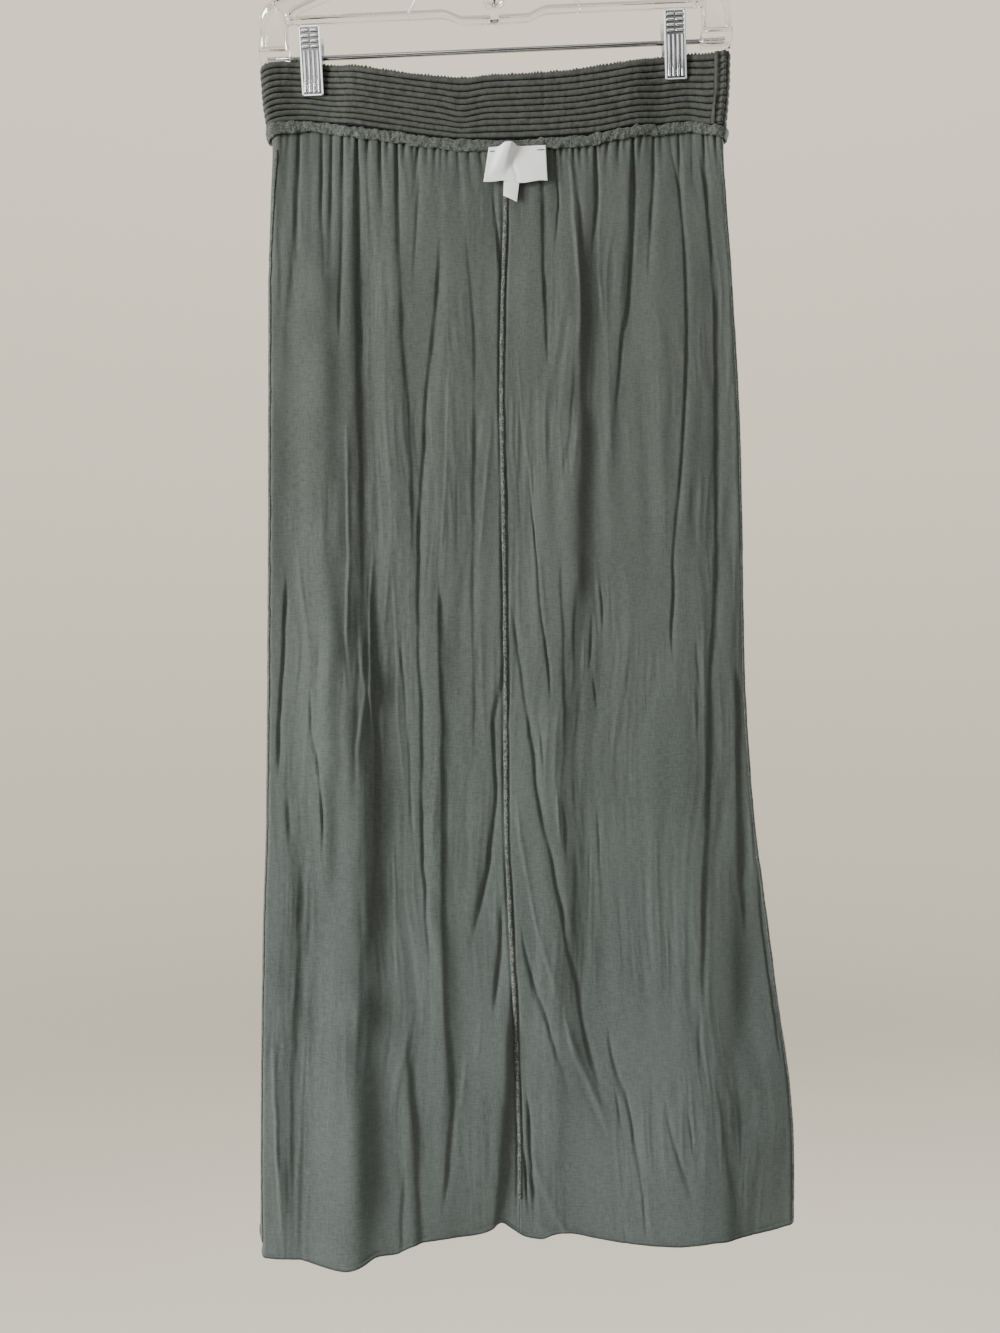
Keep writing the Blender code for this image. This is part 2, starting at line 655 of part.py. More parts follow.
def build_strip(name, places, material):
    """A seam allowance that lies on a panel, from the panel's own points moved out."""
    downs = panel_downs(places)[STRIP_ROW:-1]
    middle, outward = sheet_points(places, downs)
    low = WALL / 2 + GAP
    height = np.full((1, len(places), 1), low + STRIP_HEIGHT)
    height[:, [0, -1]] -= 0.3 * STRIP_HEIGHT
    slab(name, middle + height * outward, middle + low * outward, material)


def build_seams(material):
    """The centre back seam and the two side seams."""
    centre = [Place("near", SEAM_SHARE + k * STRIP_SHARE, 0.0) for k in (-1, 0, 1)]
    build_strip("centre_back_seam", centre, material)
    left = [Place("near", share, 0.0) for share in (EDGE_STEPS[0], EDGE_STEPS[1])]
    build_strip("side_seam_left", left, material)
    right = [Place("near", 1 - share, 0.0) for share in (EDGE_STEPS[1], EDGE_STEPS[0])]
    build_strip("side_seam_right", right, material)


def near_at(x, down):
    """The near layer without gathers or folds, at an X."""
    share = np.linspace(0, 1, 801)
    widths = width_at(share, np.full_like(share, down), False)[0]
    return layer_point(np.interp(x, widths, share), down, False, False, False)


def patch(name, xs, drops, out, material):
    """A small flat piece of cloth in front of the near layer.

    out gives the distance of its middle from the layer, from the shares across and down.
    """
    sheets = ([], [])
    for r, drop in enumerate(drops):
        for sheet, sign in zip(sheets, (1, -1)):
            row = []
            for k, x in enumerate(xs[r]):
                seam = smooth(column(WAIST, "x"), column(WAIST, "seam"), x)
                point = near_at(x, seam + drop)
                point[1] -= out(k / (len(xs[r]) - 1), r / (len(drops) - 1)) + sign * LABEL_WALL / 2
                row.append(point)
            sheet.append(row)
    return slab(name, *sheets, material, angle=30)


LABEL_LEFT, LABEL_RIGHT = 2.0, 48.0
LABEL_TOP, LABEL_LOW = 8.5, 37.5
PINCH_SHARE = 0.3


def label_out(across, down):
    """Stand-off of the label: over the seam roll at its top, with one soft pinch."""
    base = smooth((0, 0.25, 0.6, 1), (4.9, 4.7, 4.4, 5.2), down)
    pinched = 5.0 * (1 - down) * math.exp(-(((across - PINCH_SHARE) / 0.12) ** 2))
    return base + pinched


def build_labels(material):
    """The main label and the size tab under it, both bare."""
    rows = 6
    drops = np.linspace(LABEL_TOP, LABEL_LOW, rows)
    xs = [np.linspace(LABEL_LEFT - 4.0 * r / (rows - 1), LABEL_RIGHT + 1.2 * r / (rows - 1), 14)
          for r in range(rows)]
    patch("main_label", xs, drops, label_out, material)
    tab_rows = 4
    tab_drops = np.linspace(LABEL_LOW - 3.0, LABEL_LOW + 14.0, tab_rows)
    tab_xs = [np.linspace(14.5, 27.2 - 1.6 * r / (tab_rows - 1), 4) for r in range(tab_rows)]
    patch("size_tab", tab_xs, tab_drops, lambda across, down: 3.5 + 0.5 * down, material)


# ---- hanger ----
def hanger_root():
    """An empty at the hang point, turned as the hanger hangs."""
    root = bpy.data.objects.new("hanger_root", None)
    root.rotation_euler = (0, -TILT, 0)
    bpy.context.scene.collection.objects.link(root)
    return root


def box(name, low, high, material):
    """A box from corner to corner."""
    (x0, y0, z0), (x1, y1, z1) = low, high
    points = [(x, y, z) for z in (z0, z1) for y in (y0, y1) for x in (x0, x1)]
    faces = [(0, 2, 3, 1), (4, 5, 7, 6), (0, 1, 5, 4), (2, 6, 7, 3), (0, 4, 6, 2), (1, 3, 7, 5)]
    return finish(name, points, faces, material)


def prism(name, outline_xz, depth, material):
    """A flat shape in X and Z, as thick as depth along Y. Its outline runs anticlockwise from -Y."""
    count = len(outline_xz)
    points = [(x, y, z) for y in (-depth / 2, depth / 2) for x, z in outline_xz]
    faces = [tuple(range(count)), tuple(range(count, 2 * count))[::-1]]
    for k in range(count):
        n = (k + 1) % count
        faces.append((k, k + count, n + count, n))
    return finish(name, points, faces, material)


def rod(name, start, end, radius, material, sides=12):
    """A round rod between two points."""
    start, end = np.array(start, float), np.array(end, float)
    axis = (end - start) / np.linalg.norm(end - start)
    aside = np.cross(axis, (0, 1, 0) if abs(axis[1]) < 0.9 else (1, 0, 0))
    aside /= np.linalg.norm(aside)
    other = np.cross(axis, aside)
    rings = []
    for centre in (start, end):
        angles = [math.tau * k / sides for k in range(sides)]
        rings.append([centre + radius * (math.cos(a) * aside + math.sin(a) * other) for a in angles])
    return tube(name, [ring[::-1] for ring in rings], material, False, 40)


def sleeve(name, start, end, inner, outer, material, sides=14):
    """A round sleeve along X."""
    points, faces = [], []
    for x, radius in ((start, outer), (end, outer), (end, inner), (start, inner)):
        for k in range(sides):
            angle = math.tau * k / sides
            points.append((x, radius * math.cos(angle), radius * math.sin(angle) - BAR_DOWN))
    for ring in range(4):
        for k in range(sides):
            n = (k + 1) % sides
            a, b = ring * sides, (ring + 1) % 4 * sides
            faces.append((a + k, a + n, b + n, b + k))
    return finish(name, points, faces, material, 40)


def boolean(obj, cutter, operation):
    """Joins or cuts with a helper that stays out of the build."""
    cutter.hide_render = True
    cutter.display_type = "WIRE"
    modifier = obj.modifiers.new(cutter.name, "BOOLEAN")
    modifier.operation = operation
    modifier.solver = "EXACT"
    modifier.object = cutter


def arch_lines():
    """Outer and inner line of the frame's left half, from the leg's end up to the neck, as X, down."""
    outer = [(-LEG_OUTER, LEG_END), (-LEG_OUTER, 150.0), (-192.0, 145.5), (-190.6, 141.2)]
    outer += [(-188.2, 137.2), (-185.0, 133.8), (-181.0, 131.0), (-175.0, 128.0)]
    outer += [(-120.0, 105.8), (-60.0, 81.6), (-30.0, 69.4), (-20.0, 65.6), (-9.0, 63.0)]
    inner = [(-LEG_INNER, LEG_END), (-LEG_INNER, 152.0), (-170.2, 148.6), (-169.2, 145.2)]
    inner += [(-167.5, 142.2), (-165.0, 139.6), (-161.8, 137.4), (-156.0, 134.8)]
    inner += [(-112.0, 117.0), (-56.0, 94.6), (-28.0, 83.4), (-19.0, 80.2), (-9.0, 79.0)]
    return outer, inner


def i_section(outer, inner):
    """Points of an I-shaped section between the frame's outer and inner line."""
    outer, inner = (np.array((x, -down)) for x, down in (outer, inner))
    width = float(np.linalg.norm(inner - outer))
    steps = ((0, 1), (FLANGE, 1), (FLANGE, 0), (width - FLANGE, 0), (width - FLANGE, 1), (width, 1))
    side = []
    for along, deep in steps:
        point = outer + (inner - outer) * along / width
        side.append((point[0], (FRAME_DEPTH if deep else WEB) / 2, point[1]))
    return side + [(x, -y, z) for x, y, z in reversed(side)]


def build_frame(material):
    """The moulded frame: shoulders and legs, rail, socket blocks, centre ring and braces."""
    outer, inner = arch_lines()
    mirror = [[(-x, down) for x, down in reversed(line)] for line in (outer, inner)]
    rings = [i_section(o, i) for o, i in zip(outer + mirror[0], inner + mirror[1])]
    frame = tube("hanger_frame", [ring[::-1] for ring in rings], material, False, 30)
    half = RAIL_HEIGHT / 2
    middle = RAIL_DOWN + half
    line = [(-172.0, 0), (-43.0, 0), (-38.0, 0.2), (-28.0, 0.95), (-24.0, 1)]
    line += [(-x, dip) for x, dip in reversed(line)]
    upper = [(x, -(middle + RAIL_DIP * dip - half)) for x, dip in line]
    lower = [(x, -(middle + RAIL_DIP * dip + half)) for x, dip in line]
    pieces = [prism("rail_shape", lower + upper[::-1], FRAME_DEPTH - 3, material)]
    for side in (-1, 1):
        xs = sorted((side * (LEG_INNER - 2), side * (LEG_OUTER + 0.5)))
        low, high = (xs[0], -5.5, -SOCKET_END), (xs[1], 5.5, -LEG_END + 0.5)
        pieces.append(box(f"socket_shape_{side}", low, high, material))
        for k, (foot_x, foot_down, head_x, head_down, deep) in enumerate(BRACES):
            foot, head = (side * foot_x, -foot_down), (side * head_x, -head_down)
            shape = [(foot[0] - 1.2, foot[1]), (foot[0] + 1.2, foot[1]), (head[0] + 1.2, head[1])]
            shape.append((head[0] - 1.2, head[1]))
            pieces.append(prism(f"brace_shape_{k}_{side}", shape, deep, material))
    low_post = -(RAIL_DOWN + RAIL_DIP + 1.5)
    pieces.append(box("post_shape", (-3.7, -4, low_post), (3.7, 4, -RING_DOWN - 8.0), material))
    ring = [[(r * math.cos(a), y, r * math.sin(a) - RING_DOWN) for r, y in RING_SECTION]
            for a in (math.tau * k / 20 for k in range(20))]
    pieces.append(tube("ring_shape", [section[::-1] for section in ring], material, True, 30))
    pieces.append(box("neck_shape", (-9.5, -6.5, -80.0), (9.5, 6.5, -60.0), material))
    for piece in pieces:
        boolean(frame, piece, "UNION")
    bore = WIRE_RADIUS + RUNNING_GAP
    boolean(frame, rod("stem_bore", (0, 0, -50), (0, 0, -STEM_END - 0.5), bore, material), "DIFFERENCE")
    for side in (-1, 1):
        start, end = (side * 160.0, 0, -BAR_DOWN), (side * (BAR_HALF + 1), 0, -BAR_DOWN)
        cutter = rod(f"bar_bore_{side}", start, end, BAR_RADIUS + RUNNING_GAP, material)
        boolean(frame, cutter, "DIFFERENCE")
    return [frame, *[modifier.object for modifier in frame.modifiers]]


# Braces of one side: X and down of the foot and of the head, and depth.
BRACES = ((70.5, RAIL_DOWN + 1, 36.0, 84.5, 4.0), (170.0, 146.0, 180.5, 132.0, 6.0))
RING_SECTION = ((9.0, -3.5), (9.0, 3.5), (6.6, 3.5), (6.6, -3.5))


def build_hook(material):
    """A bent wire: the hook's round, a soft turn inwards and a straight stem."""
    centre = -HOOK_RADIUS + WIRE_RADIUS
    angles = [math.radians(200 - 250 * k / 16) for k in range(17)]
    path = [(HOOK_RADIUS * math.cos(a), centre + HOOK_RADIUS * math.sin(a)) for a in angles]
    last = angles[-1]
    heading = (math.sin(last), -math.cos(last))
    start = path[-1]
    pull = (start[0] + 10 * heading[0], start[1] + 10 * heading[1])
    ends = (start, pull, (0.0, -50.0), (0.0, -62.0))
    for k in range(1, 7):
        u = k / 6
        weights = ((1 - u) ** 3, 3 * u * (1 - u) ** 2, 3 * u * u * (1 - u), u ** 3)
        path.append(tuple(sum(w * p[axis] for w, p in zip(weights, ends)) for axis in (0, 1)))
    path += [(0.0, -100.0), (0.0, -STEM_END)]
    curve = bpy.data.curves.new("hanger_hook", "CURVE")
    curve.dimensions = "3D"
    curve.bevel_depth = WIRE_RADIUS * MM
    curve.bevel_resolution = 2
    curve.use_fill_caps = True
    spline = curve.splines.new("POLY")
    spline.points.add(len(path) - 1)
    for point, (x, z) in zip(spline.points, path):
        point.co = (x * MM, 0, z * MM, 1)
    curve.materials.append(material)
    hook = bpy.data.objects.new("hanger_hook", curve)
    bpy.context.scene.collection.objects.link(hook)
    return [hook]


def build_clip(name, x, metal):
    """A sprung clip on the bar: two plates with cheeks round the bar, and a coil."""
    made = []
    half = CLIP_WIDTH / 2
    top, low = CLIP_ABOVE - BAR_DOWN, -CLIP_BELOW - BAR_DOWN
    for side, plate_name, cheek_x in ((-1, "front", 8.0), (1, "back", 6.9)):
        outer_jaw, outer_top = CLIP_JAW_Y + PLATE, CLIP_TOP_Y + PLATE
        section = [(CLIP_JAW_Y, low), (outer_jaw, low), (outer_top, top), (CLIP_TOP_Y, top)]
        ring_left = [(x - half, side * y, z) for y, z in section]
        ring_right = [(x + half, side * y, z) for y, z in section]
        rings = [ring_left, ring_right] if side > 0 else [ring_right, ring_left]
        plate = tube(f"clip_{name}_{plate_name}", rings, metal, False, 30)
        made.append(plate)
        for cheek_side in (-1, 1):
            centre = x + cheek_side * cheek_x
            ys = sorted((side * 6.3, -side * 3.6))
            low_corner = (centre - 0.4, ys[0], -BAR_DOWN - 3.2)
            high_corner = (centre + 0.4, ys[1], -BAR_DOWN + 6)
            cheek = box(f"cheek_{name}_{plate_name}_{cheek_side}", low_corner, high_corner, metal)
            boolean(plate, cheek, "UNION")
            made.append(cheek)
        start, end = (x - 12, 0, -BAR_DOWN), (x + 12, 0, -BAR_DOWN)
        bore = rod(f"bore_{name}_{plate_name}", start, end, BAR_RADIUS + RUNNING_GAP, metal)
        boolean(plate, bore, "DIFFERENCE")
        made.append(bore)
    coil = sleeve(f"clip_{name}_spring", x - 6.2, x + 6.2, BAR_RADIUS + RUNNING_GAP, 3.5, metal)
    made.append(coil)
    return made


def build_hanger(clear, metal):
    """The hanger, with every piece turned with its root."""
    root = hanger_root()
    made = build_frame(clear) + build_hook(metal)
    ends = [(side * BAR_HALF, 0, -BAR_DOWN) for side in (-1, 1)]
    made.append(rod("hanger_bar", *ends, BAR_RADIUS, metal))
    for name, x in zip(("left", "right"), CLIP_X):
        made += build_clip(name, x, metal)
    for obj in made:
        obj.parent = root


# ---- materials ----
def finish_material(name, colour, roughness, metallic=0.0, transmission=0.0):
    """A Principled material in one plain colour."""
    material = bpy.data.materials.new(name)
    material.use_nodes = True
    shader = material.node_tree.nodes["Principled BSDF"]
    shader.inputs["Base Color"].default_value = (*colour, 1)
    shader.inputs["Roughness"].default_value = roughness
    shader.inputs["Metallic"].default_value = metallic
    shader.inputs["Transmission Weight"].default_value = transmission
    return material


def main():
    """Clears the scene and builds the part."""
    for obj in list(bpy.data.objects):
        bpy.data.objects.remove(obj, do_unlink=True)
    cloth = finish_material("sage_cloth", (0.155, 0.185, 0.150), 0.85)
    band = finish_material("ribbed_band", (0.090, 0.100, 0.078), 0.9)
    thread = finish_material("overlock", (0.130, 0.150, 0.125), 0.9)
    satin = finish_material("white_satin", (0.80, 0.80, 0.79), 0.45)
    clear = finish_material("clear_plastic", (0.93, 0.94, 0.93), 0.08, transmission=0.9)
    metal = finish_material("chrome", (0.75, 0.76, 0.78), 0.18, metallic=1.0)
    build_panels(cloth)
    build_waistband(band)
    build_waistband_seam(band)
    build_waist_seam(thread)
    build_seams(thread)
    build_labels(satin)
    build_hanger(clear, metal)


main()
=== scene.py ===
"""Dresses the maxi skirt: thin gathered cloth, a corded waistband, seams, labels and a clip hanger.

Sizes are in millimetres unless a name ends in _m. "Down" is the distance below the hang point,
"near" is the layer that faces -Y, which is the back of the skirt, and "far" the one behind it.
"""

import logging
import math
from dataclasses import dataclass, field
from enum import Enum, IntEnum

import bmesh
import bpy
import numpy as np
from mathutils import Matrix, Vector


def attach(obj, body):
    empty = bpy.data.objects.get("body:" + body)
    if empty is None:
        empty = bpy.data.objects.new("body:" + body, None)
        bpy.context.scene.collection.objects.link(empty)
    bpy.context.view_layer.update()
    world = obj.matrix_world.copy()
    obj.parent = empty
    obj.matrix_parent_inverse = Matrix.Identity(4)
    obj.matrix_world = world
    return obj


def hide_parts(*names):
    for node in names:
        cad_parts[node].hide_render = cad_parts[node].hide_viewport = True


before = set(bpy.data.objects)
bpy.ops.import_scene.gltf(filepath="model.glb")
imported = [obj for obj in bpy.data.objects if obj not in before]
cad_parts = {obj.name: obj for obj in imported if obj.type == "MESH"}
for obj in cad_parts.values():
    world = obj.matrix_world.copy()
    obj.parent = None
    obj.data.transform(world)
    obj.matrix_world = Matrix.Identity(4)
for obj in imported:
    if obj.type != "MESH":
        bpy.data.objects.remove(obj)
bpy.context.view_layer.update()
LOG = logging.getLogger("maxi_skirt")
MM = 0.001
TAU = math.tau
Array = np.ndarray
Triple = tuple[float, float, float]


# ---- curves and noise ----
def smooth(stations: Array, values: Array, at: Array) -> Array:
    """Values on a monotone cubic curve through the stations.

    Args:
        stations: Where the values are given, in rising order.
        values: One value for each station.
        at: Where the curve is wanted.

    Returns:
        The curve's values.
    """
    stations = np.asarray(stations, float)
    values = np.asarray(values, float)
    step = np.diff(stations)
    slope = np.diff(values) / step
    tangent = np.concatenate([[slope[0]], (slope[1:] + slope[:-1]) / 2, [slope[-1]]])
    limit = 3 * np.minimum(abs(slope[1:]), abs(slope[:-1]))
    tangent[1:-1] = np.where(slope[1:] * slope[:-1] > 0, np.clip(tangent[1:-1], -limit, limit), 0)
    at = np.asarray(at, float)
    i = np.clip(np.searchsorted(stations, at, side="right") - 1, 0, len(step) - 1)
    u = np.clip((at - stations[i]) / step[i], 0, 1)
    start = (1 + 2 * u) * (1 - u) ** 2 * values[i] + u * (1 - u) ** 2 * step[i] * tangent[i]
    end = u * u * (3 - 2 * u) * values[i + 1] - u * u * (1 - u) * step[i] * tangent[i + 1]
    return start + end


def ease(share: Array) -> Array:
    """A soft step from 0 to 1."""
    share = np.clip(share, 0, 1)
    return share * share * (3 - 2 * share)


def bell(distance: Array, width: float) -> Array:
    """1 in the middle and 0 well past the width."""
    return np.exp(-((distance / width) ** 2))


def blunt(wave: Array) -> Array:
    """A wave between -1 and 1 with its crests made broader."""
    return np.sign(wave) * abs(wave) ** 0.8


@dataclass
class Grain:
    """Smooth random values over a plane, the same on every run."""

    seed: int
    lattice: Array = field(init=False)

    def __post_init__(self) -> None:
        """Draws the lattice."""
        self.lattice = np.random.default_rng(self.seed).uniform(-1, 1, (256, 256))

    def at(self, u: Array, v: Array) -> Array:
        """Values at places of the plane.

        Args:
            u: Place along it, where 1 is a cell of the lattice.
            v: Place across it.

        Returns:
            Values from -1 to 1.
        """
        u, v = np.broadcast_arrays(np.asarray(u, float), np.asarray(v, float))
        i, j = np.floor(u).astype(int), np.floor(v).astype(int)
        a, b = ease(u - i), ease(v - j)
        corner = [[self.lattice[(i + m) % 256, (j + n) % 256] for n in (0, 1)] for m in (0, 1)]
        low = corner[0][0] * (1 - b) + corner[0][1] * b
        return low * (1 - a) + (corner[1][0] * (1 - b) + corner[1][1] * b) * a


UNEVEN = Grain(7)


# ---- the skirt's form ----
class Layer(Enum):
    """The two layers of cloth that hang one behind the other."""

    NEAR = "near"
    FAR = "far"


@dataclass(frozen=True)
class Turn:
    """A stretch where the cloth steps back to the right, and rises again slowly on both sides of it.

    Attributes:
        top: Height where it starts.
        low: Height where it ends.
        path: X of its middle at five even steps down.
        before: How far before its line the step starts: short where the line is sharp.
        width: How far past the line the cloth still steps back.
        depth: How far it steps back, or forward where this is negative.
        fade_top: Height over which it grows at the top.
        fade_low: Height over which it fades at the bottom.
        reach: How far to each side the cloth rises again.
    """

    top: float
    low: float
    path: tuple[float, float, float, float, float]
    before: float
    width: float
    depth: float
    fade_top: float
    fade_low: float
    reach: float

    def at(self, x: Array, down: Array) -> Array:
        """The step's form.

        Args:
            x: Places across.
            down: Heights.

        Returns:
            Its depth.
        """
        middle = smooth((0, 0.25, 0.5, 0.75, 1), self.path, (down - self.top) / (self.low - self.top))
        fade = ease((down - self.top) / self.fade_top) * ease((self.low - down) / self.fade_low)
        across = x - middle - 0.8 * UNEVEN.at(down / 34, self.path[0])
        before = self.before * (1.05 + 0.4 * UNEVEN.at(down / 29, self.path[0] + 50))
        past = across + before * math.log(self.width / self.before)
        step = 1 - np.exp(-before * np.logaddexp(0, past / before) / self.width)
        return self.depth * fade * (step - 0.5 - 0.5 * np.tanh(across / self.reach))


@dataclass(frozen=True)
class Crease:
    """A line where the cloth turns sharply: it drops, or rises, to the right of it and comes back.

    Attributes:
        depth: How far the cloth drops, or rises where this is negative.
        width: Half the width of the sharp side.
        spread: How many times wider the soft side is.
        line: Pairs of a height and the X of the line there, from the top down.
        slope_length: How far the plane on the soft side slopes.
    """

    depth: float
    width: float
    spread: float
    line: tuple[tuple[float, float], ...]
    slope_length: float = 15.0

    def at(self, x: Array, down: Array) -> Array:
        """The crease's form.

        Args:
            x: Places across.
            down: Heights.

        Returns:
            Its depth.
        """
        downs, xs = zip(*self.line)
        length = downs[-1] - downs[0]
        reach = min(0.4 * length, 34.0)
        own = xs[0] * 1.7
        fade = ease((down - downs[0] + 0.15 * reach) / reach) * ease((downs[-1] - down) / reach)
        fade = fade * (1 + 0.45 * UNEVEN.at(down / 21, own))
        wander = 0.9 * UNEVEN.at(down / 26, own + 30) + 0.4 * UNEVEN.at(down / 8, own + 60)
        width = self.width * (0.7 + 0.2 * UNEVEN.at(down / 37, own + 90))
        t = (x - smooth(downs, xs, down) - wander) / width - 0.7
        past = np.clip(t, 0, None)
        soft = 0.55 * np.exp(-((past / self.spread) ** 2)) + 0.45 * np.exp(-past * width / self.slope_length)
        return self.depth * fade * np.where(t > 0, soft, np.exp(-(t**2)))


# Down, left edge, left edge of the far layer, centre seam, right edge, right edge of the far
# layer, and the depths of the near and the far corner.
OUTLINE = np.array([
    (178, -183.0, -183.0, 16.0, 197.0, 197.0, 3.0, 3.0),
    (215, -181.0, -181.0, 16.0, 196.0, 196.0, 3.0, 3.0),
    (240, -177.0, -178.0, 16.0, 193.5, 194.0, 3.5, 3.5),
    (256, -172.5, -175.5, 16.0, 192.5, 193.5, 4.0, 4.0),
    (300, -174.5, -176.5, 16.0, 195.0, 194.5, 4.5, 4.5),
    (382, -176.6, -178.0, 13.5, 200.5, 199.0, 5.0, 5.0),
    (470, -176.6, -178.0, 12.7, 205.3, 203.0, 5.0, 5.5),
    (555, -176.6, -178.0, 14.3, 207.4, 205.0, 5.5, 6.0),
    (700, -177.3, -179.0, 15.8, 210.6, 208.0, 6.0, 7.0),
    (808, -177.6, -180.0, 16.5, 218.0, 215.0, 6.5, 8.0),
    (891, -179.5, -181.5, 20.0, 228.6, 225.5, 7.0, 8.5),
    (955, -180.3, -182.5, 23.3, 236.4, 233.5, 7.0, 9.0),
    (1016, -180.8, -183.5, 25.3, 245.0, 242.0, 7.0, 9.5),
    (1077, -180.8, -186.5, 27.3, 248.6, 246.0, 7.5, 10.0),
    (1155, -179.8, -188.0, 27.0, 248.2, 246.0, 8.0, 11.0),
])
# Down, and the depth at the left edge, the left lobe, the middle, the right lobe and the right edge.
NEAR_LOBES = np.array([
    (178, 4, 6, 7, 6, 4), (254, 6, 7, 8, 7, 6), (300, 8, 9, 9, 9, 8), (400, 10, 12, 10, 12, 9),
    (600, 12, 16, 12, 15, 11), (800, 15, 20, 12, 19, 11), (950, 18, 25, 12, 23, 12),
    (1060, 20, 30, 12, 28, 13), (1155, 23, 35, 12, 32, 14),
])
FAR_LOBES = np.array([
    (178, 4, 6, 6, 6, 4), (254, 5, 6, 7, 6, 5), (300, 7, 8, 8, 8, 7), (400, 9, 10, 10, 10, 9),
    (600, 11, 13, 12, 13, 11), (800, 13, 15, 13, 15, 13), (950, 14, 15, 14, 17, 15),
    (1060, 14, 15, 13, 20, 18), (1155, 14, 14, 12, 22, 24),
])
LOBE_AT = {Layer.NEAR: (0.0, 0.17, 0.45, 0.83, 1.0), Layer.FAR: (0.0, 0.2, 0.5, 0.8, 1.0)}
# X, top of the waistband and its seam.
WAIST = np.array([
    (-184, 192.5, 243.0), (-172, 189.4, 239.5), (-152, 187.8, 236.5), (-133, 190.0, 238.0),
    (-103, 194.0, 243.0), (-70, 199.0, 248.0), (-38, 203.0, 252.5), (-17, 204.0, 254.0),
    (3, 202.0, 254.0), (27, 201.0, 253.5), (60, 198.5, 251.5), (92, 194.0, 248.5),
    (125, 188.0, 241.5), (145, 183.5, 239.0), (165, 181.5, 237.0), (184, 182.0, 241.0),
    (197, 180.0, 241.5),
])
# X and height.
NEAR_HEM = np.array([
    (-190, 1150.0), (-168, 1151.0), (-149, 1151.0), (-135, 1153.0), (-112, 1154.4), (-97, 1151.2),
    (-86, 1146.8), (-71, 1146.0), (-58, 1141.2), (-29, 1138.4), (-5, 1136.8), (4, 1134.2), (12, 1130.4),
    (20, 1135.0), (32, 1141.4), (44, 1142.4), (54, 1138.6), (67, 1136.8), (86, 1139.0), (118, 1141.0),
    (152, 1140.4), (181, 1136.8), (198, 1136.4), (216, 1135.2), (233, 1133.2), (246, 1130.4), (254, 1130.0),
])
FAR_HEM = np.array([
    (-190, 1147.5), (-173, 1149.0), (-140, 1148.5), (-107, 1147.5), (-82, 1146.5), (-50, 1144.5),
    (-6, 1142.5), (12, 1141.0), (39, 1139.5), (62, 1138.5), (95, 1137.0), (152, 1137.0), (188, 1134.0),
    (227, 1130.5), (250, 1131.0),
])
# Top, low, X at five even steps down, length before the line, width, depth, fade at the top,
# fade at the bottom and reach.
NEAR_TURNS = np.array([
    (262, 730, -105.5, -105.5, -103, -101, -98, 3.0, 5.4, 10.4, 110, 170, 35),
    (570, 1190, -93, -90, -91, -94.5, -93, 4.6, 7.0, 21.5, 150, 10, 46),
    (270, 740, -125, -126, -120.5, -117.5, -118, 6.5, 3.2, 12.5, 90, 150, 34),
    (600, 900, -117, -117, -118.5, -122.5, -126, 2.6, 3.6, 6.5, 90, 90, 26),
    (590, 810, -105, -105.5, -106, -106.5, -107, 2.2, 3.0, 6.5, 90, 80, 24),
    (300, 660, -157, -160, -162, -163, -164, 4.0, 6.0, 6.5, 60, 70, 30),
    (700, 1190, -162, -151, -151, -153, -153, 5.0, 9.0, 14.5, 220, 10, 46),
    (300, 560, -69, -68, -66, -63, -60, 3.4, 5.0, 5.6, 50, 60, 30),
    (600, 1060, -38, -35.5, -34.5, -32, -28, 1.2, 5.4, 4.8, 60, 60, 28),
    (860, 1010, -30, -28, -27, -26, -25, 2.0, 4.0, 1.8, 50, 60, 25),
    (880, 1020, -62, -64, -64, -63, -62, 3.5, 3.0, 3.8, 50, 50, 24),
    (960, 1190, -63, -59.5, -57, -56, -55, 1.4, 3.8, 4.2, 50, 10, 25),
    (930, 1190, 20, 19.5, 16.5, 11.5, 8, 1.8, 3.0, 9.0, 60, 10, 34),
    (680, 930, 5, 6, 1, -7, -16, 1.2, 3.6, 2.0, 60, 60, 22),
    (280, 430, 46, 45.5, 46, 48, 50, 1.0, 2.6, 1.4, 30, 60, 20),
    (300, 660, 30, 32, 34, 35, 35, 4.0, 4.0, -2.4, 60, 80, 40),
    (740, 940, 33, 41, 48, 56, 66, 1.6, 4.0, 2.0, 50, 60, 22),
    (262, 770, 92, 80, 79, 75, 66, 2.8, 3.8, 10.8, 110, 220, 42),
    (570, 1080, 66, 66, 67, 71, 74, 3.4, 18.0, 14.0, 200, 150, 75),
    (940, 1190, 62, 62, 62, 63, 66, 5.0, 26.0, 12.0, 110, 10, 65),
    (900, 1085, 50, 62, 74, 86, 98, 1.6, 4.0, 1.4, 50, 40, 22),
    (1065, 1165, 31, 36, 44, 54, 66, 2.0, 3.4, 2.0, 30, 30, 22),
    (258, 570, 118, 115.5, 110, 103, 97, 1.4, 3.6, 3.0, 30, 90, 25),
    (310, 640, 137, 137, 136, 135, 135, 5.0, 5.0, -3.0, 60, 90, 42),
    (275, 960, 181, 184.5, 184, 178, 172.5, 1.6, 3.4, 1.8, 50, 120, 25),
    (300, 640, 194, 196, 198, 200, 201, 2.0, 2.4, -1.4, 60, 80, 20),
    (560, 1000, 203, 204, 204.5, 203, 202, 1.6, 3.0, 3.0, 100, 80, 20),
    (860, 1190, 201, 199, 197, 196, 194, 3.0, 5.0, 2.6, 90, 10, 35),
    (900, 1190, 217, 217, 217, 217, 217, 8.0, 14.0, -15.0, 90, 10, 45),
])
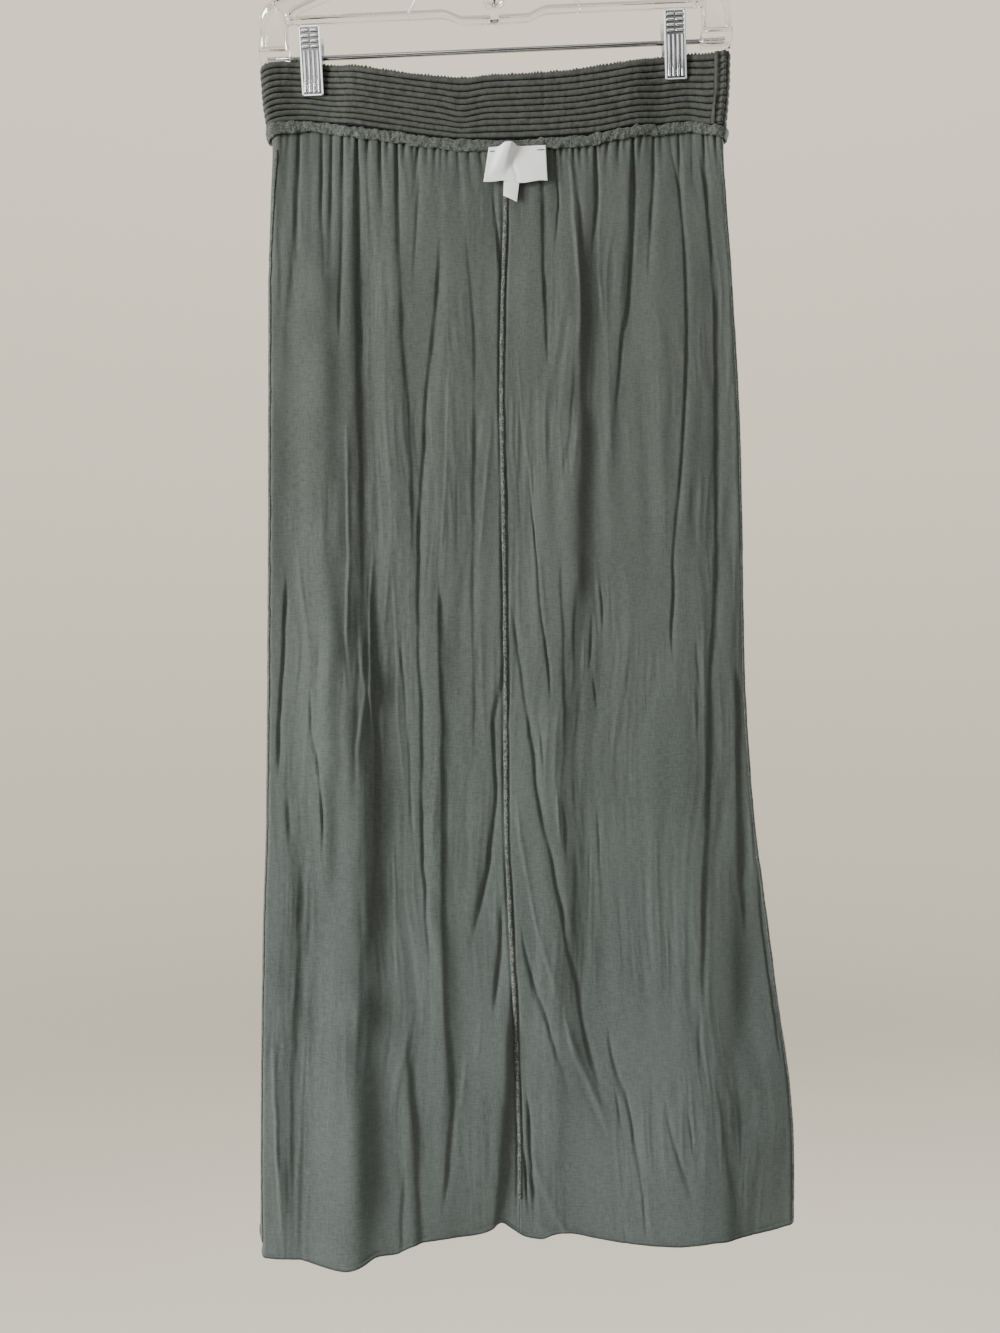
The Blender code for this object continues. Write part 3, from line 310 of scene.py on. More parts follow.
FAR_TURNS = np.array([
    (280, 760, -150, -152, -148, -144, -146, 2.2, 4.2, -3.6, 60, 140, 30),
    (560, 1190, -118, -122, -126, -124, -120, 3.6, 4.6, -7.0, 140, 20, 40),
    (300, 820, -96, -92, -95, -101, -98, 1.6, 4.6, -6.0, 80, 140, 32),
    (850, 1190, -78, -76, -80, -84, -82, 3.0, 4.0, -5.0, 90, 20, 32),
    (290, 640, -52, -50, -47, -48, -52, 1.4, 3.6, -3.0, 60, 110, 26),
    (620, 1060, -24, -28, -30, -26, -20, 3.4, 5.0, -4.6, 120, 110, 38),
    (300, 900, 8, 12, 14, 10, 4, 1.6, 5.0, -6.6, 80, 160, 36),
    (900, 1190, 24, 28, 34, 38, 40, 3.0, 5.0, -6.0, 80, 20, 36),
    (280, 600, 52, 56, 54, 50, 52, 1.4, 3.4, -3.0, 50, 100, 26),
    (540, 1190, 86, 82, 86, 94, 98, 3.6, 5.4, -8.0, 140, 20, 42),
    (290, 760, 116, 120, 124, 120, 114, 1.6, 4.0, -4.8, 70, 140, 30),
    (760, 1190, 148, 152, 158, 162, 160, 3.4, 5.4, -6.0, 120, 20, 36),
    (280, 700, 168, 172, 176, 174, 170, 1.6, 3.6, -3.0, 60, 120, 24),
    (820, 1190, 196, 202, 208, 212, 214, 2.4, 4.0, -3.4, 110, 20, 28),
])
# Depth, width, spread, then the down and the X of each point of the line.
NEAR_CREASES = (
    (0.6, 2.8, 3.0, (258, -153), (300, -154), (350, -157), (400, -161), (440, -163)),
    (1.3, 2.0, 3.0, (262, -134.5), (300, -134), (340, -133), (390, -131)),
    (0.8, 1.5, 1.5, (280, -128), (310, -126.5), (332, -127)),
    (0.9, 0.9, 1.4, (296, -125), (318, -123.5)),
    (1.0, 1.8, 2.0, (262, -118), (300, -117), (340, -118.5), (400, -119), (430, -118)),
    (2.2, 1.6, 3.2, (254, -105), (300, -104), (350, -105), (400, -105), (440, -103.5)),
    (1.6, 2.0, 3.0, (390, -105), (450, -103.5), (520, -102), (570, -101), (620, -100)),
    (0.9, 1.6, 1.8, (268, -98), (300, -97), (350, -96)),
    (0.6, 1.6, 3.0, (270, -86.5), (300, -85), (360, -84)),
    (1.3, 2.6, 3.0, (262, -73), (340, -71.5), (400, -69), (450, -66), (500, -62), (600, -59)),
    (1.2, 2.0, 2.0, (264, -55), (290, -56), (330, -58), (375, -62)),
    (1.7, 2.0, 2.8, (335, -37.5), (365, -39.5), (400, -42.5), (440, -47), (480, -50), (520, -52.5),
     (560, -54.5), (620, -55.5), (670, -55), (720, -52.5), (840, -52), (870, -49.5), (930, -46)),
    (-0.9, 1.0, 1.4, (430, -31), (480, -32.5), (540, -34), (600, -37)),
    (1.1, 2.4, 2.6, (325, -18), (350, -16), (380, -12.5), (420, -9.5), (540, -11), (760, -10)),
    (-1.1, 1.6, 1.6, (486, 3.5), (510, 1), (545, -1.5), (600, -7)),
    (2.0, 2.0, 1.6, (294, 3.5), (315, 6), (345, 9), (375, 11.3), (410, 13)),
    (2.2, 1.6, 2.4, (608, -161.5), (650, -163), (680, -164.5), (715, -166.5), (745, -168), (775, -167)),
    (1.6, 1.0, 2.4, (696, -142.3), (720, -141.5), (742, -140), (757, -136.5), (800, -132.3), (842, -131.5)),
    (0.8, 1.2, 1.6, (655, -115.5), (680, -112.5), (705, -109.5)),
    (-1.8, 1.4, 1.8, (485, -112.5), (523, -112), (560, -112), (600, -111.5), (640, -112), (680, -111)),
    (-1.8, 1.3, 1.6, (585, -92), (620, -93.5), (660, -94.5), (700, -93), (740, -91)),
    (-1.6, 1.8, 1.8, (636, -103.5), (682, -101), (700, -98), (722, -100.5), (750, -102.5), (790, -102.5)),
    (1.8, 2.2, 3.0, (605, -95), (640, -92.5), (680, -91), (780, -88.5), (840, -89), (880, -91), (920, -95)),
    (-0.7, 1.3, 1.4, (600, -77), (640, -75), (690, -72.5), (730, -71), (760, -69), (792, -66)),
    (1.0, 1.4, 2.0, (655, -71.5), (690, -68), (720, -65.5), (760, -62), (800, -60.5), (845, -56)),
    (1.5, 1.6, 3.2, (610, -38.5), (680, -37.5), (740, -35.5), (860, -35), (900, -34), (1000, -31)),
    (2.4, 1.6, 2.0, (676, 13), (700, 10), (712, 7), (730, 5), (752, 5), (780, 6.5), (820, 3), (850, 0),
     (870, -5), (893, -10), (915, -14)),
    (1.5, 1.8, 2.4, (590, 12.5), (640, 13.3), (690, 13.5)),
    (-0.9, 1.3, 1.5, (850, 7.5), (880, 7), (905, 5.5)),
    (2.2, 2.0, 2.2, (862, 14), (890, 11.5), (920, 9), (945, 6.5), (970, 4)),
    (-0.9, 1.2, 1.6, (820, -74.5), (870, -74), (920, -72.5), (950, -73)),
    (0.8, 2.6, 3.0, (830, -148), (880, -149.5), (920, -151), (970, -152.5), (1060, -156)),
    (1.2, 2.0, 2.0, (785, -161), (800, -160), (830, -158)),
    (-2.0, 1.8, 1.4, (975, -171), (1010, -169.5), (1045, -167.5), (1080, -165), (1145, -161)),
    (0.8, 2.2, 2.4, (1050, -158), (1090, -157.5), (1120, -158), (1170, -160)),
    (1.8, 2.2, 2.6, (980, -64.5), (1005, -61.5), (1030, -58.5), (1055, -57), (1085, -56), (1165, -52)),
    (1.6, 2.4, 2.4, (1080, -65.5), (1115, -67), (1165, -68)),
    (2.0, 2.2, 2.2, (965, -31), (1000, -29), (1030, -27), (1060, -29), (1090, -32.5), (1125, -37)),
    (-1.0, 1.6, 1.6, (995, -16), (1015, -18.5), (1040, -23)),
    (-0.8, 1.6, 1.6, (960, -5), (985, -7), (1010, -10)),
    (3.2, 3.2, 1.4, (950, 20.3), (1000, 19), (1040, 17.3), (1070, 14.5), (1095, 12), (1150, 5)),
    (1.4, 2.0, 2.2, (296, 47), (320, 45.5), (360, 46), (400, 48), (450, 49.5)),
    (1.1, 2.0, 3.0, (590, 58), (620, 60), (680, 62), (740, 62.5), (790, 60)),
    (1.2, 1.5, 1.5, (262, 55.5), (285, 57), (305, 58), (350, 54)),
    (-1.8, 2.0, 1.5, (262, 65), (290, 68.5), (320, 70), (350, 72.5), (380, 74.5), (450, 70)),
    (1.6, 2.4, 2.0, (285, 72), (320, 75), (350, 77), (400, 78)),
    (1.4, 1.8, 1.8, (262, 88), (282, 90), (300, 89), (330, 86), (360, 83.5)),
    (-0.9, 1.4, 1.5, (300, 93), (340, 90), (380, 92), (410, 94)),
    (1.4, 1.6, 2.0, (252, 119.5), (340, 118), (370, 116), (400, 112), (440, 107), (480, 102)),
    (1.2, 1.6, 2.0, (258, 137), (285, 135.5), (310, 134), (345, 131.5), (375, 130)),
    (1.8, 1.7, 2.2, (258, 149), (272, 152), (292, 155.5), (320, 158), (350, 160), (400, 161.5),
     (480, 159), (515, 157), (545, 154), (610, 150), (680, 149)),
    (0.9, 1.4, 1.6, (258, 167.5), (280, 167), (300, 167)),
    (1.9, 2.2, 2.6, (258, 172), (275, 175), (295, 178), (320, 180), (385, 183.5), (500, 185), (610, 184),
     (685, 180), (770, 178), (820, 176), (870, 173), (960, 172.5)),
    (2.6, 2.2, 2.8, (680, 202), (720, 202.5), (790, 203), (850, 204.5), (900, 209)),
    (1.4, 1.6, 2.0, (840, 218.5), (880, 222), (920, 226), (950, 230), (980, 234.5), (1010, 238.5)),
    (-0.7, 1.0, 1.3, (425, 25), (450, 27), (475, 28.5), (505, 31.5), (530, 35), (580, 38.5)),
    (0.4, 1.2, 1.8, (505, 22), (540, 25.5), (580, 28.5), (605, 30)),
    (1.4, 1.2, 1.6, (525, 33), (560, 36.5), (600, 40), (640, 43.5), (672, 48), (700, 51), (716, 53.5)),
    (-1.0, 1.4, 1.4, (485, 73), (505, 71), (530, 66)),
    (1.0, 1.6, 1.6, (440, 72), (470, 68), (500, 66), (530, 59), (545, 56)),
    (1.0, 1.4, 1.8, (620, 72), (660, 70), (700, 69)),
    (1.5, 1.2, 1.6, (640, 85), (665, 83.5), (688, 81.5)),
    (1.1, 1.0, 1.6, (686, 84.5), (705, 87.5), (718, 88.5)),
    (-0.9, 1.1, 1.4, (650, 80), (680, 78), (695, 75)),
    (0.8, 1.1, 1.5, (615, 91), (640, 93), (655, 92)),
    (0.7, 0.9, 1.5, (682, 114), (695, 113.5), (708, 113)),
    (0.6, 0.9, 1.5, (695, 129), (708, 128.5), (720, 128)),
    (0.8, 1.3, 1.8, (655, 168), (690, 170), (725, 168.5), (760, 167)),
    (1.8, 1.8, 2.4, (636, 20), (670, 24.5), (700, 29.5), (760, 38), (790, 41), (820, 47), (845, 53),
     (872, 58.5), (900, 63), (925, 69), (985, 80), (1010, 87), (1032, 92.5)),
    (0.9, 1.2, 1.6, (720, 41), (745, 44), (770, 47.5)),
    (-1.0, 1.3, 1.5, (770, 56), (800, 57), (835, 60)),
    (1.0, 1.3, 1.6, (785, 61), (815, 62.5), (840, 63)),
    (0.9, 1.2, 1.6, (792, 88), (820, 90), (850, 90.5)),
    (0.8, 1.2, 1.6, (812, 84), (835, 83), (870, 82), (900, 79)),
    (-1.2, 1.6, 1.6, (785, 23), (820, 27), (850, 32), (880, 38), (905, 44.5), (930, 52), (958, 58.5)),
    (1.6, 1.5, 2.0, (886, 27), (910, 30.5), (932, 36), (955, 43.5), (980, 51.5), (1005, 59.5), (1030, 66.5)),
    (-2.2, 2.0, 1.3, (955, 60), (980, 66.5), (1000, 74), (1020, 83), (1040, 92), (1062, 101.5)),
    (1.3, 1.6, 2.0, (968, 97), (990, 98.5), (1010, 104), (1028, 111), (1050, 116), (1105, 124.5),
     (1150, 128.5)),
    (1.0, 1.3, 1.6, (1015, 102), (1040, 106), (1060, 109)),
    (1.5, 1.6, 1.8, (1030, 141), (1055, 147), (1078, 153.5), (1098, 160.5), (1114, 166)),
    (1.1, 1.3, 1.6, (1035, 159), (1055, 162.5), (1075, 166)),
    (1.0, 2.4, 2.6, (1000, 183.5), (1040, 186), (1070, 190), (1098, 196), (1160, 206)),
    (0.8, 1.2, 1.6, (1122, 108), (1135, 110), (1155, 111)),
    (0.9, 1.3, 1.6, (950, 171), (985, 168.5), (1010, 171)),
    (2.6, 1.6, 1.8, (1018, 31), (1045, 33), (1070, 34.5), (1100, 36), (1135, 37)),
    (-2.4, 2.6, 1.5, (1062, 33), (1085, 39), (1105, 47), (1125, 57), (1150, 70)),
    (1.8, 1.5, 1.4, (1080, 33), (1100, 36.5), (1122, 42.5)),
    (4.2, 1.3, 1.2, (1072, 30), (1092, 31), (1110, 32.5), (1128, 36)),
)
FAR_CREASES = (
    (-1.6, 2.4, 2.4, (262, -160), (330, -158), (420, -164), (520, -161), (640, -166)),
    (1.2, 1.8, 1.6, (280, -132), (360, -129), (460, -134), (560, -130)),
    (-2.0, 2.2, 2.6, (262, -112), (350, -110), (450, -116), (560, -112), (700, -118), (820, -114)),
    (-1.2, 1.6, 2.0, (270, -84), (330, -82), (400, -86), (470, -83)),
    (-1.8, 2.2, 2.4, (262, -63), (360, -66), (480, -61), (600, -66), (720, -63)),
    (1.0, 1.4, 1.6, (420, -44), (500, -40), (600, -43)),
    (-1.9, 2.0, 2.4, (262, -12), (340, -8), (430, -13), (540, -10), (660, -16), (780, -12)),
    (-1.1, 1.5, 1.8, (270, 22), (340, 25), (420, 21)),
    (-1.7, 2.2, 2.4, (262, 37), (350, 40), (440, 36), (560, 42), (680, 38)),
    (-2.0, 2.4, 2.6, (262, 72), (340, 69), (450, 74), (570, 70), (700, 77)),
    (1.3, 1.6, 1.6, (300, 102), (400, 106), (500, 101)),
    (-1.8, 2.0, 2.4, (262, 131), (360, 135), (470, 130), (600, 137), (720, 133)),
    (-1.4, 1.8, 2.0, (262, 158), (340, 156), (420, 161), (520, 158)),
    (-1.2, 1.3, 1.8, (640, -146), (690, -142), (740, -145), (800, -139)),
    (-1.4, 1.6, 2.0, (760, -72), (820, -66), (880, -68), (950, -60)),
    (1.4, 1.6, 1.6, (800, -6), (850, 2), (900, 12), (960, 20)),
    (-1.5, 1.6, 2.0, (830, 40), (880, 48), (930, 54), (990, 64)),
    (-1.0, 1.3, 1.6, (700, 98), (740, 101), (780, 100)),
    (-1.6, 1.8, 2.2, (860, 120), (920, 126), (980, 128), (1040, 136)),
    (-1.2, 1.6, 1.8, (900, -130), (950, -134), (1010, -131)),
    (-2.0, 2.4, 2.4, (960, -46), (1030, -50), (1090, -47), (1165, -52)),
    (-1.8, 2.0, 2.0, (1000, 8), (1060, 4), (1110, 6), (1165, 1)),
    (-1.6, 2.2, 2.2, (1010, 70), (1070, 76), (1165, 80)),
    (-1.8, 2.2, 2.4, (980, 178), (1050, 184), (1110, 190), (1165, 192)),
)
# Where the near layer's gathers leave the seam: X, drift to the right, reach and depth.
NEAR_GATHERS = np.array([
    (-167, 1, 26, 1.2), (-161, -1, 34, 1.3), (-153, 0, 60, 3.0), (-145, 1, 22, 1.2), (-134, 0, 75, 2.3),
    (-126, 0, 80, 2.4), (-117, 0, 66, 2.3), (-111, 1, 18, 1.2), (-105.2, 0, 80, 3.0), (-96.5, 0, 26, 1.9),
    (-86.5, 1, 46, 2.1), (-80, 0, 20, 1.4), (-73, 1, 60, 2.4), (-66.5, 0, 18, 1.9), (-60, 1, 24, 1.2),
    (-55, -2, 36, 2.2), (-48, 0, 20, 1.2), (-41.5, 0, 24, 1.6), (-36.5, 0, 34, 0.9), (-31, 0, 18, 1.5),
    (-24, 3, 38, 0.9), (-15, 2, 24, 1.3), (-6, 3, 26, 1.3), (3, 2, 30, 1.4), (11, 1, 26, 1.4),
    (26, 0, 26, 1.4), (36, 0, 26, 1.5), (46, 0, 40, 2.2), (51, 0, 22, 1.6), (55.5, 1, 34, 2.2),
    (60.5, 1, 22, 1.8), (65, 2, 20, 1.3), (70, 2, 26, 1.8), (75.5, 1, 22, 1.9), (82, 1, 20, 1.2),
    (88.5, 1, 46, 2.5), (93.5, -1, 18, 1.5), (99, -1, 22, 1.9), (107.5, 0, 22, 2.0), (113, 0, 18, 1.2),
    (119.5, -1, 80, 2.8), (127, -2, 24, 1.7), (132, 0, 16, 1.2), (137, -1, 48, 2.3), (143, 0, 24, 1.8),
    (149, 3, 30, 1.5), (157, 1, 56, 2.5), (161, 0, 18, 1.4), (168, 0, 24, 1.6), (177, 2, 46, 2.3),
    (180, 2, 24, 1.6), (186, 2, 30, 1.8),
])
SEAM_SHARE = 0.45
SKIRT_WIDTH = 385.0
PANEL_LENGTH = 900.0
BELOW_BAND = 250.0
ABOVE_HEM = 1140.0
CLIP_AT = (-150.9, 145.7)
TILT = math.radians(2.55)
BAR_DOWN = 177.0


class Stretch(IntEnum):
    """The four stretches of the ring round the skirt, in their order."""

    NEAR = 0
    RIGHT = 1
    FAR = 2
    LEFT = 3


@dataclass
class Drape:
    """The form of the hanging skirt: where the middle of its cloth is, all round and all the way down."""

    gathers: int = 48
    corner_round: float = 5.0
    pinched: float = 0.95
    pinch_half: float = 10.0
    pinch_fade: float = 28.0
    side_bulge: float = 1.2
    folds: dict[Layer, list[Turn | Crease]] = field(default_factory=dict)
    crinkle: Grain = field(default_factory=lambda: Grain(11))
    far_gathers: Array = field(init=False)

    def __post_init__(self) -> None:
        """Reads the tables and draws the far layer's gathers."""
        tables = {
            Layer.NEAR: (NEAR_TURNS, NEAR_CREASES),
            Layer.FAR: (FAR_TURNS, FAR_CREASES),
        }
        for layer, (turns, creases) in tables.items():
            self.folds[layer] = [Turn(r[0], r[1], tuple(r[2:7]), *r[7:]) for r in turns]
            self.folds[layer] += [Crease(r[0], r[1], r[2], r[3:]) for r in creases]
        rng = np.random.default_rng(6)
        share = (np.arange(self.gathers) + 0.5 + rng.uniform(-0.35, 0.35, self.gathers)) / self.gathers
        self.far_gathers = np.stack([
            -178 + 372 * share,
            rng.uniform(-2, 2, len(share)),
            rng.choice((20.0, 28.0, 40.0, 66.0), len(share), p=(0.35, 0.3, 0.2, 0.15)),
            rng.uniform(1.2, 2.6, len(share)),
        ], -1)

    def outline(self, column: int, down: Array) -> Array:
        """A column of the outline's table at the given heights."""
        return smooth(OUTLINE[:, 0], OUTLINE[:, column], down)

    def seam_down(self, x: Array) -> Array:
        """Height of the seam under the waistband."""
        return smooth(WAIST[:, 0], WAIST[:, 2], x)

    def band_top(self, x: Array) -> Array:
        """Height of the waistband's upper edge."""
        return smooth(WAIST[:, 0], WAIST[:, 1], x)

    def hem_down(self, x: Array, layer: Layer) -> Array:
        """Height of the hem."""
        table = NEAR_HEM if layer is Layer.NEAR else FAR_HEM
        return smooth(table[:, 0], table[:, 1], x)

    def across(self, share: Array, down: Array, layer: Layer) -> tuple[Array, Array, Array]:
        """Places across a layer.

        Args:
            share: Share of the layer's width, from 0 at the left to 1.
            down: Heights.
            layer: Which layer.

        Returns:
            X there, at the layer's left edge and at its right edge.
        """
        far = layer is Layer.FAR
        left = self.outline(2 if far else 1, down)
        right = self.outline(5 if far else 4, down)
        seam = left + (right - left) * SEAM_SHARE if far else self.outline(3, down)
        left_part = left + (seam - left) * share / SEAM_SHARE
        right_part = seam + (right - seam) * (share - SEAM_SHARE) / (1 - SEAM_SHARE)
        return np.where(share < SEAM_SHARE, left_part, right_part), left, right

    def lobes(self, share: Array, down: Array, layer: Layer) -> Array:
        """The wide swells of a layer.

        Args:
            share: Share of the layer's width.
            down: Heights.
            layer: Which layer.

        Returns:
            Depth of the layer before its folds.
        """
        table = FAR_LOBES if layer is Layer.FAR else NEAR_LOBES
        at = np.asarray(LOBE_AT[layer])
        values = np.stack([smooth(table[:, 0], table[:, k], down) for k in range(1, 6)])
        i = np.clip(np.searchsorted(at, share, side="right") - 1, 0, 3)
        weight = (1 - np.cos(math.pi * (share - at[i]) / (at[i + 1] - at[i]))) / 2
        low = np.take_along_axis(values, i[None], 0)[0]
        return low * (1 - weight) + np.take_along_axis(values, i[None] + 1, 0)[0] * weight

    def gathered(self, x: Array, drop: Array, layer: Layer) -> Array:
        """The gathers: sharp slits under the seam that widen and fade, with puffs between.

        Args:
            x: Places across.
            drop: Heights below the seam.
            layer: Which layer.

        Returns:
            How far they stand out, less than 0 in the slits.
        """
        puff = 1.1 * ease(drop / 9) * np.exp(-((drop / 55) ** 1.3))
        total = puff * np.ones_like(x)
        for place, drift, reach, depth in NEAR_GATHERS if layer is Layer.NEAR else self.far_gathers:
            way = drop / reach
            width = 1.05 + 1.3 * np.clip(way, 0, 3)
            fade = ease((drop + 1) / 5) * np.exp(-(way**1.5))
            total = total - 1.55 * depth * fade * bell(x - place - drift * way, width)
        return total

    def pinch(self, x: Array, down: Array) -> Array:
        """The squeeze of the clips.

        Args:
            x: Places across.
            down: Heights.

        Returns:
            1 where a clip presses the two layers together, fading to 0 around it.
        """
        height = smooth((178, 216, 240, 256, 300, 370), (1, 1, 0.75, 0.5, 0.2, 0), down)
        total = np.zeros_like(x)
        for clip in CLIP_AT:
            middle = clip * math.cos(TILT) + BAR_DOWN * math.sin(TILT) + 1.5
            total = np.maximum(total, 1 - ease((abs(x - middle) - self.pinch_half) / self.pinch_fade))
        return total * height

    def point(self, share: Array, down: Array, layer: Layer, plain: bool = False) -> Array:
        """Middle of the cloth.

        Args:
            share: Share of the layer's width, from 0 at the left to 1.
            down: Heights.
            layer: Which layer.
            plain: Leaves out gathers, folds and crinkles.

        Returns:
            X, Y and Z, in the last axis.
        """
        share, down = np.broadcast_arrays(np.asarray(share, float), np.asarray(down, float))
        x, left, right = self.across(share, down, layer)
        corner = self.outline(7 if layer is Layer.FAR else 6, down)
        inset = np.clip(np.minimum(x - left, right - x) / self.corner_round, 0, 1)
        rounded = np.sqrt(np.clip(1 - (1 - inset) ** 2, 0, 1))
        depth = corner + (self.lobes(share, down, layer) - corner) * rounded
        if not plain:
            calm_hem = 1 - 0.4 * ease((down - 1078) / 62)
            depth = depth + rounded * self.relief(x, down, layer) * calm_hem
        held = self.pinch(x, down)
        depth = depth * (1 - held) + self.pinched * held
        return np.stack([x, depth if layer is Layer.FAR else -depth, -down], -1)

    def relief(self, x: Array, down: Array, layer: Layer) -> Array:
        """Gathers, folds, crinkles and the ditches of the centre seam together.

        Args:
            x: Places across.
            down: Heights.
            layer: Which layer.

        Returns:
            How far they stand out.
        """
        drop = np.clip(down - self.seam_down(x), 0, 1000)
        from_seam = x - self.outline(3, down)
        flat = 0.85 * bell(from_seam, 7.0) if layer is Layer.NEAR else 0
        relief = (1 - flat) * self.gathered(x, drop, layer)
        if layer is Layer.NEAR:
            relief = relief - self.seam_ditch(from_seam, down)
        for fold in self.folds[layer]:
            relief = relief - fold.at(x, down)
        return relief + ease(drop / 60) * self.crinkles(x, down, layer)

    def seam_ditch(self, across: Array, down: Array) -> Array:
        """The two narrow ditches beside the centre seam.

        Args:
            across: Places to the right of the seam.
            down: Heights.

        Returns:
            Their depth.
        """
        along = ease((down - 290) / 60) * ease((1135 - down) / 30)
        left = 1.8 * (1 + 0.4 * UNEVEN.at(down / 33, 11.0)) * bell(across + 2.3, 1.1)
        right = 1.1 * (1 + 0.8 * UNEVEN.at(down / 27, 19.0)) * bell(across - 2.3, 1.0)
        return along * (left + right)

    def crinkles(self, x: Array, down: Array, layer: Layer) -> Array:
        """Small long wrinkles that run down the cloth, sharp where two of them meet.

        Args:
            x: Places across.
            down: Heights.
            layer: Which layer. The far one has its own wrinkles.

        Returns:
            How far they stand out.
        """
        shift = 40.0 if layer is Layer.FAR else 0.0
        lean = 8.0 * self.crinkle.at(down / 95 + shift, x / 60)
        across = x + lean
        wide = self.crinkle.at(across / 10 + shift, down / 130)
        middle = 0.5 - 2 * abs(self.crinkle.at(across / 7 + 90 + shift, down / 62 + 17))
        fine = 0.5 - 2 * abs(self.crinkle.at(across / 3.6 + 150 + shift, down / 26 + 60))
        patch = 1.25 * ease(0.5 + 0.95 * self.crinkle.at(across / 30 + 9 + shift, down / 70 + 120))
        return 0.55 * wide + patch * (0.38 * middle + 0.22 * fine)

    def ring(self, stretch: Array, along: Array, down: Array, plain: bool = False) -> Array:
        """Middle of the cloth on the ring round the skirt.

        Args:
            stretch: The Stretch of each column.
            along: For each column the share of the width, or the way from the near corner to the far.
            down: Heights, with a column for each of these.
            plain: Leaves out gathers, folds and crinkles.

        Returns:
            X, Y and Z, in the last axis.
        """
        out = np.zeros((*down.shape, 3))
        for kind, layer in ((Stretch.NEAR, Layer.NEAR), (Stretch.FAR, Layer.FAR)):
            chosen = stretch == kind
            out[:, chosen] = self.point(along[chosen], down[:, chosen], layer, plain)
        for kind, share, sign in ((Stretch.RIGHT, 1.0, 1), (Stretch.LEFT, 0.0, -1)):
            chosen = stretch == kind
            near = self.point(share, down[:, chosen], Layer.NEAR, plain)
            far = self.point(share, down[:, chosen], Layer.FAR, plain)
            way = along[chosen][None, :, None]
            out[:, chosen] = near + (far - near) * way
            out[:, chosen, 0] += sign * self.side_bulge * np.sin(math.pi * along[chosen])
        return out

    def round_the_skirt(self, near_step: float, far_step: float) -> tuple[Array, Array]:
        """Columns all round the ring, denser at the corners.

        Args:
            near_step: How far apart they are on the near layer.
            far_step: The same on the far layer.

        Returns:
            The Stretch of each column, and its place along that.
        """
        edge = np.array([0.5, 1.2, 2.2, 3.5]) / SKIRT_WIDTH
        corner = 5 / SKIRT_WIDTH
        steps = {Stretch.NEAR: near_step, Stretch.RIGHT: 0, Stretch.FAR: far_step, Stretch.LEFT: 0}
        stretch, along = [], []
        for kind, step in steps.items():
            if step:
                inside = np.linspace(corner, 1 - corner, int(SKIRT_WIDTH / step))
                way = np.concatenate([edge, inside, 1 - edge[::-1]])
            else:
                way = np.linspace(0, 1, 7)
            along.append(way if kind < Stretch.FAR else way[::-1])
            stretch.append(np.full(len(way), int(kind)))
        return np.concatenate(stretch), np.concatenate(along)


DRAPE = Drape()


# ---- mesh helpers ----
def outward(points: Array, wrap: bool = False) -> Array:
    """Directions that stand out from a grid of points.

    Args:
        points: Rows that run down, of columns that run round.
        wrap: Whether the rows close on themselves.

    Returns:
        A direction for each point, one unit long.
    """
    if wrap:
        padded = np.concatenate([points[:, -1:], points, points[:, :1]], 1)
        along = padded[:, 2:] - padded[:, :-2]
    else:
        along = np.gradient(points, axis=1)
    normal = -np.cross(along, np.gradient(points, axis=0))
    return normal / np.maximum(np.linalg.norm(normal, axis=-1, keepdims=True), 1e-9)


def way_round(points: Array) -> Array:
    """Length from the first of a row of points to each of them."""
    return np.concatenate([[0], np.cumsum(np.linalg.norm(np.diff(points, axis=0), axis=1))])


def cloth_uv(across_m: Array, downs: Array) -> Array:
    """Places on the cloth in metres, for a grid with the given columns and heights."""
    return np.stack([np.broadcast_to(across_m, downs.shape), -downs * MM], -1)


def new_piece(name: str, data: bpy.types.ID | None) -> bpy.types.Object:
    """Puts an object in the scene.

    Args:
        name: Its name.
        data: Its mesh, camera or lamp, or None for a bare axis.

    Returns:
        The object.
    """
    piece = bpy.data.objects.new(name, data)
    bpy.context.scene.collection.objects.link(piece)
    return piece


def grid_piece(
    name: str, points: Array, uv: Array | None = None, wrap: tuple[bool, bool] = (False, False)
) -> bpy.types.Object:
    """A mesh over a grid of points in millimetres.

    Args:
        name: The piece's name.
        points: Rows that run down, of columns that run round as seen from above.
        uv: A place on the cloth for each point, in metres.
        wrap: Whether the rows, and the columns, close on themselves.

    Returns:
        The object.
    """
    rows, columns = points.shape[:2]
    r, c = np.meshgrid(np.arange(rows - (not wrap[0])), np.arange(columns - (not wrap[1])), indexing="ij")
    below, beside = (r + 1) % rows, (c + 1) % columns
    corners = ((r, c), (below, c), (below, beside), (r, beside))
    quads = np.stack([row * columns + column for row, column in corners], -1)
    mesh = bpy.data.meshes.new(name)
    mesh.from_pydata((points.reshape(-1, 3) * MM).tolist(), [], quads.reshape(-1, 4).tolist())
    if uv is not None:
        flat = uv.reshape(-1, 2)[quads.reshape(-1)]
        mesh.uv_layers.new(name="UVMap").data.foreach_set("uv", flat.astype(np.float32).reshape(-1))
    mesh.shade_smooth()
    return new_piece(name, mesh)


def attribute(piece: bpy.types.Object, name: str, values: Array) -> None:
    """Gives a piece's points a number each, for its material to read."""
    layer = piece.data.attributes.new(name, "FLOAT", "POINT")
    layer.data.foreach_set("value", np.asarray(values, np.float32).reshape(-1))


def select_only(piece: bpy.types.Object | None) -> None:
    """Leaves one piece selected and active, or none.

    Args:
        piece: The piece, or None.
    """
    for other in bpy.context.selected_objects:
        other.select_set(False)
    if piece:
        piece.select_set(True)
        bpy.context.view_layer.objects.active = piece


def apply_modifiers(piece: bpy.types.Object) -> None:
    """Applies modifiers.

    Args:
        piece: The piece, whose modifiers are all applied.
    """
    select_only(piece)
    for modifier in list(piece.modifiers):
        bpy.ops.object.modifier_apply(modifier=modifier.name)


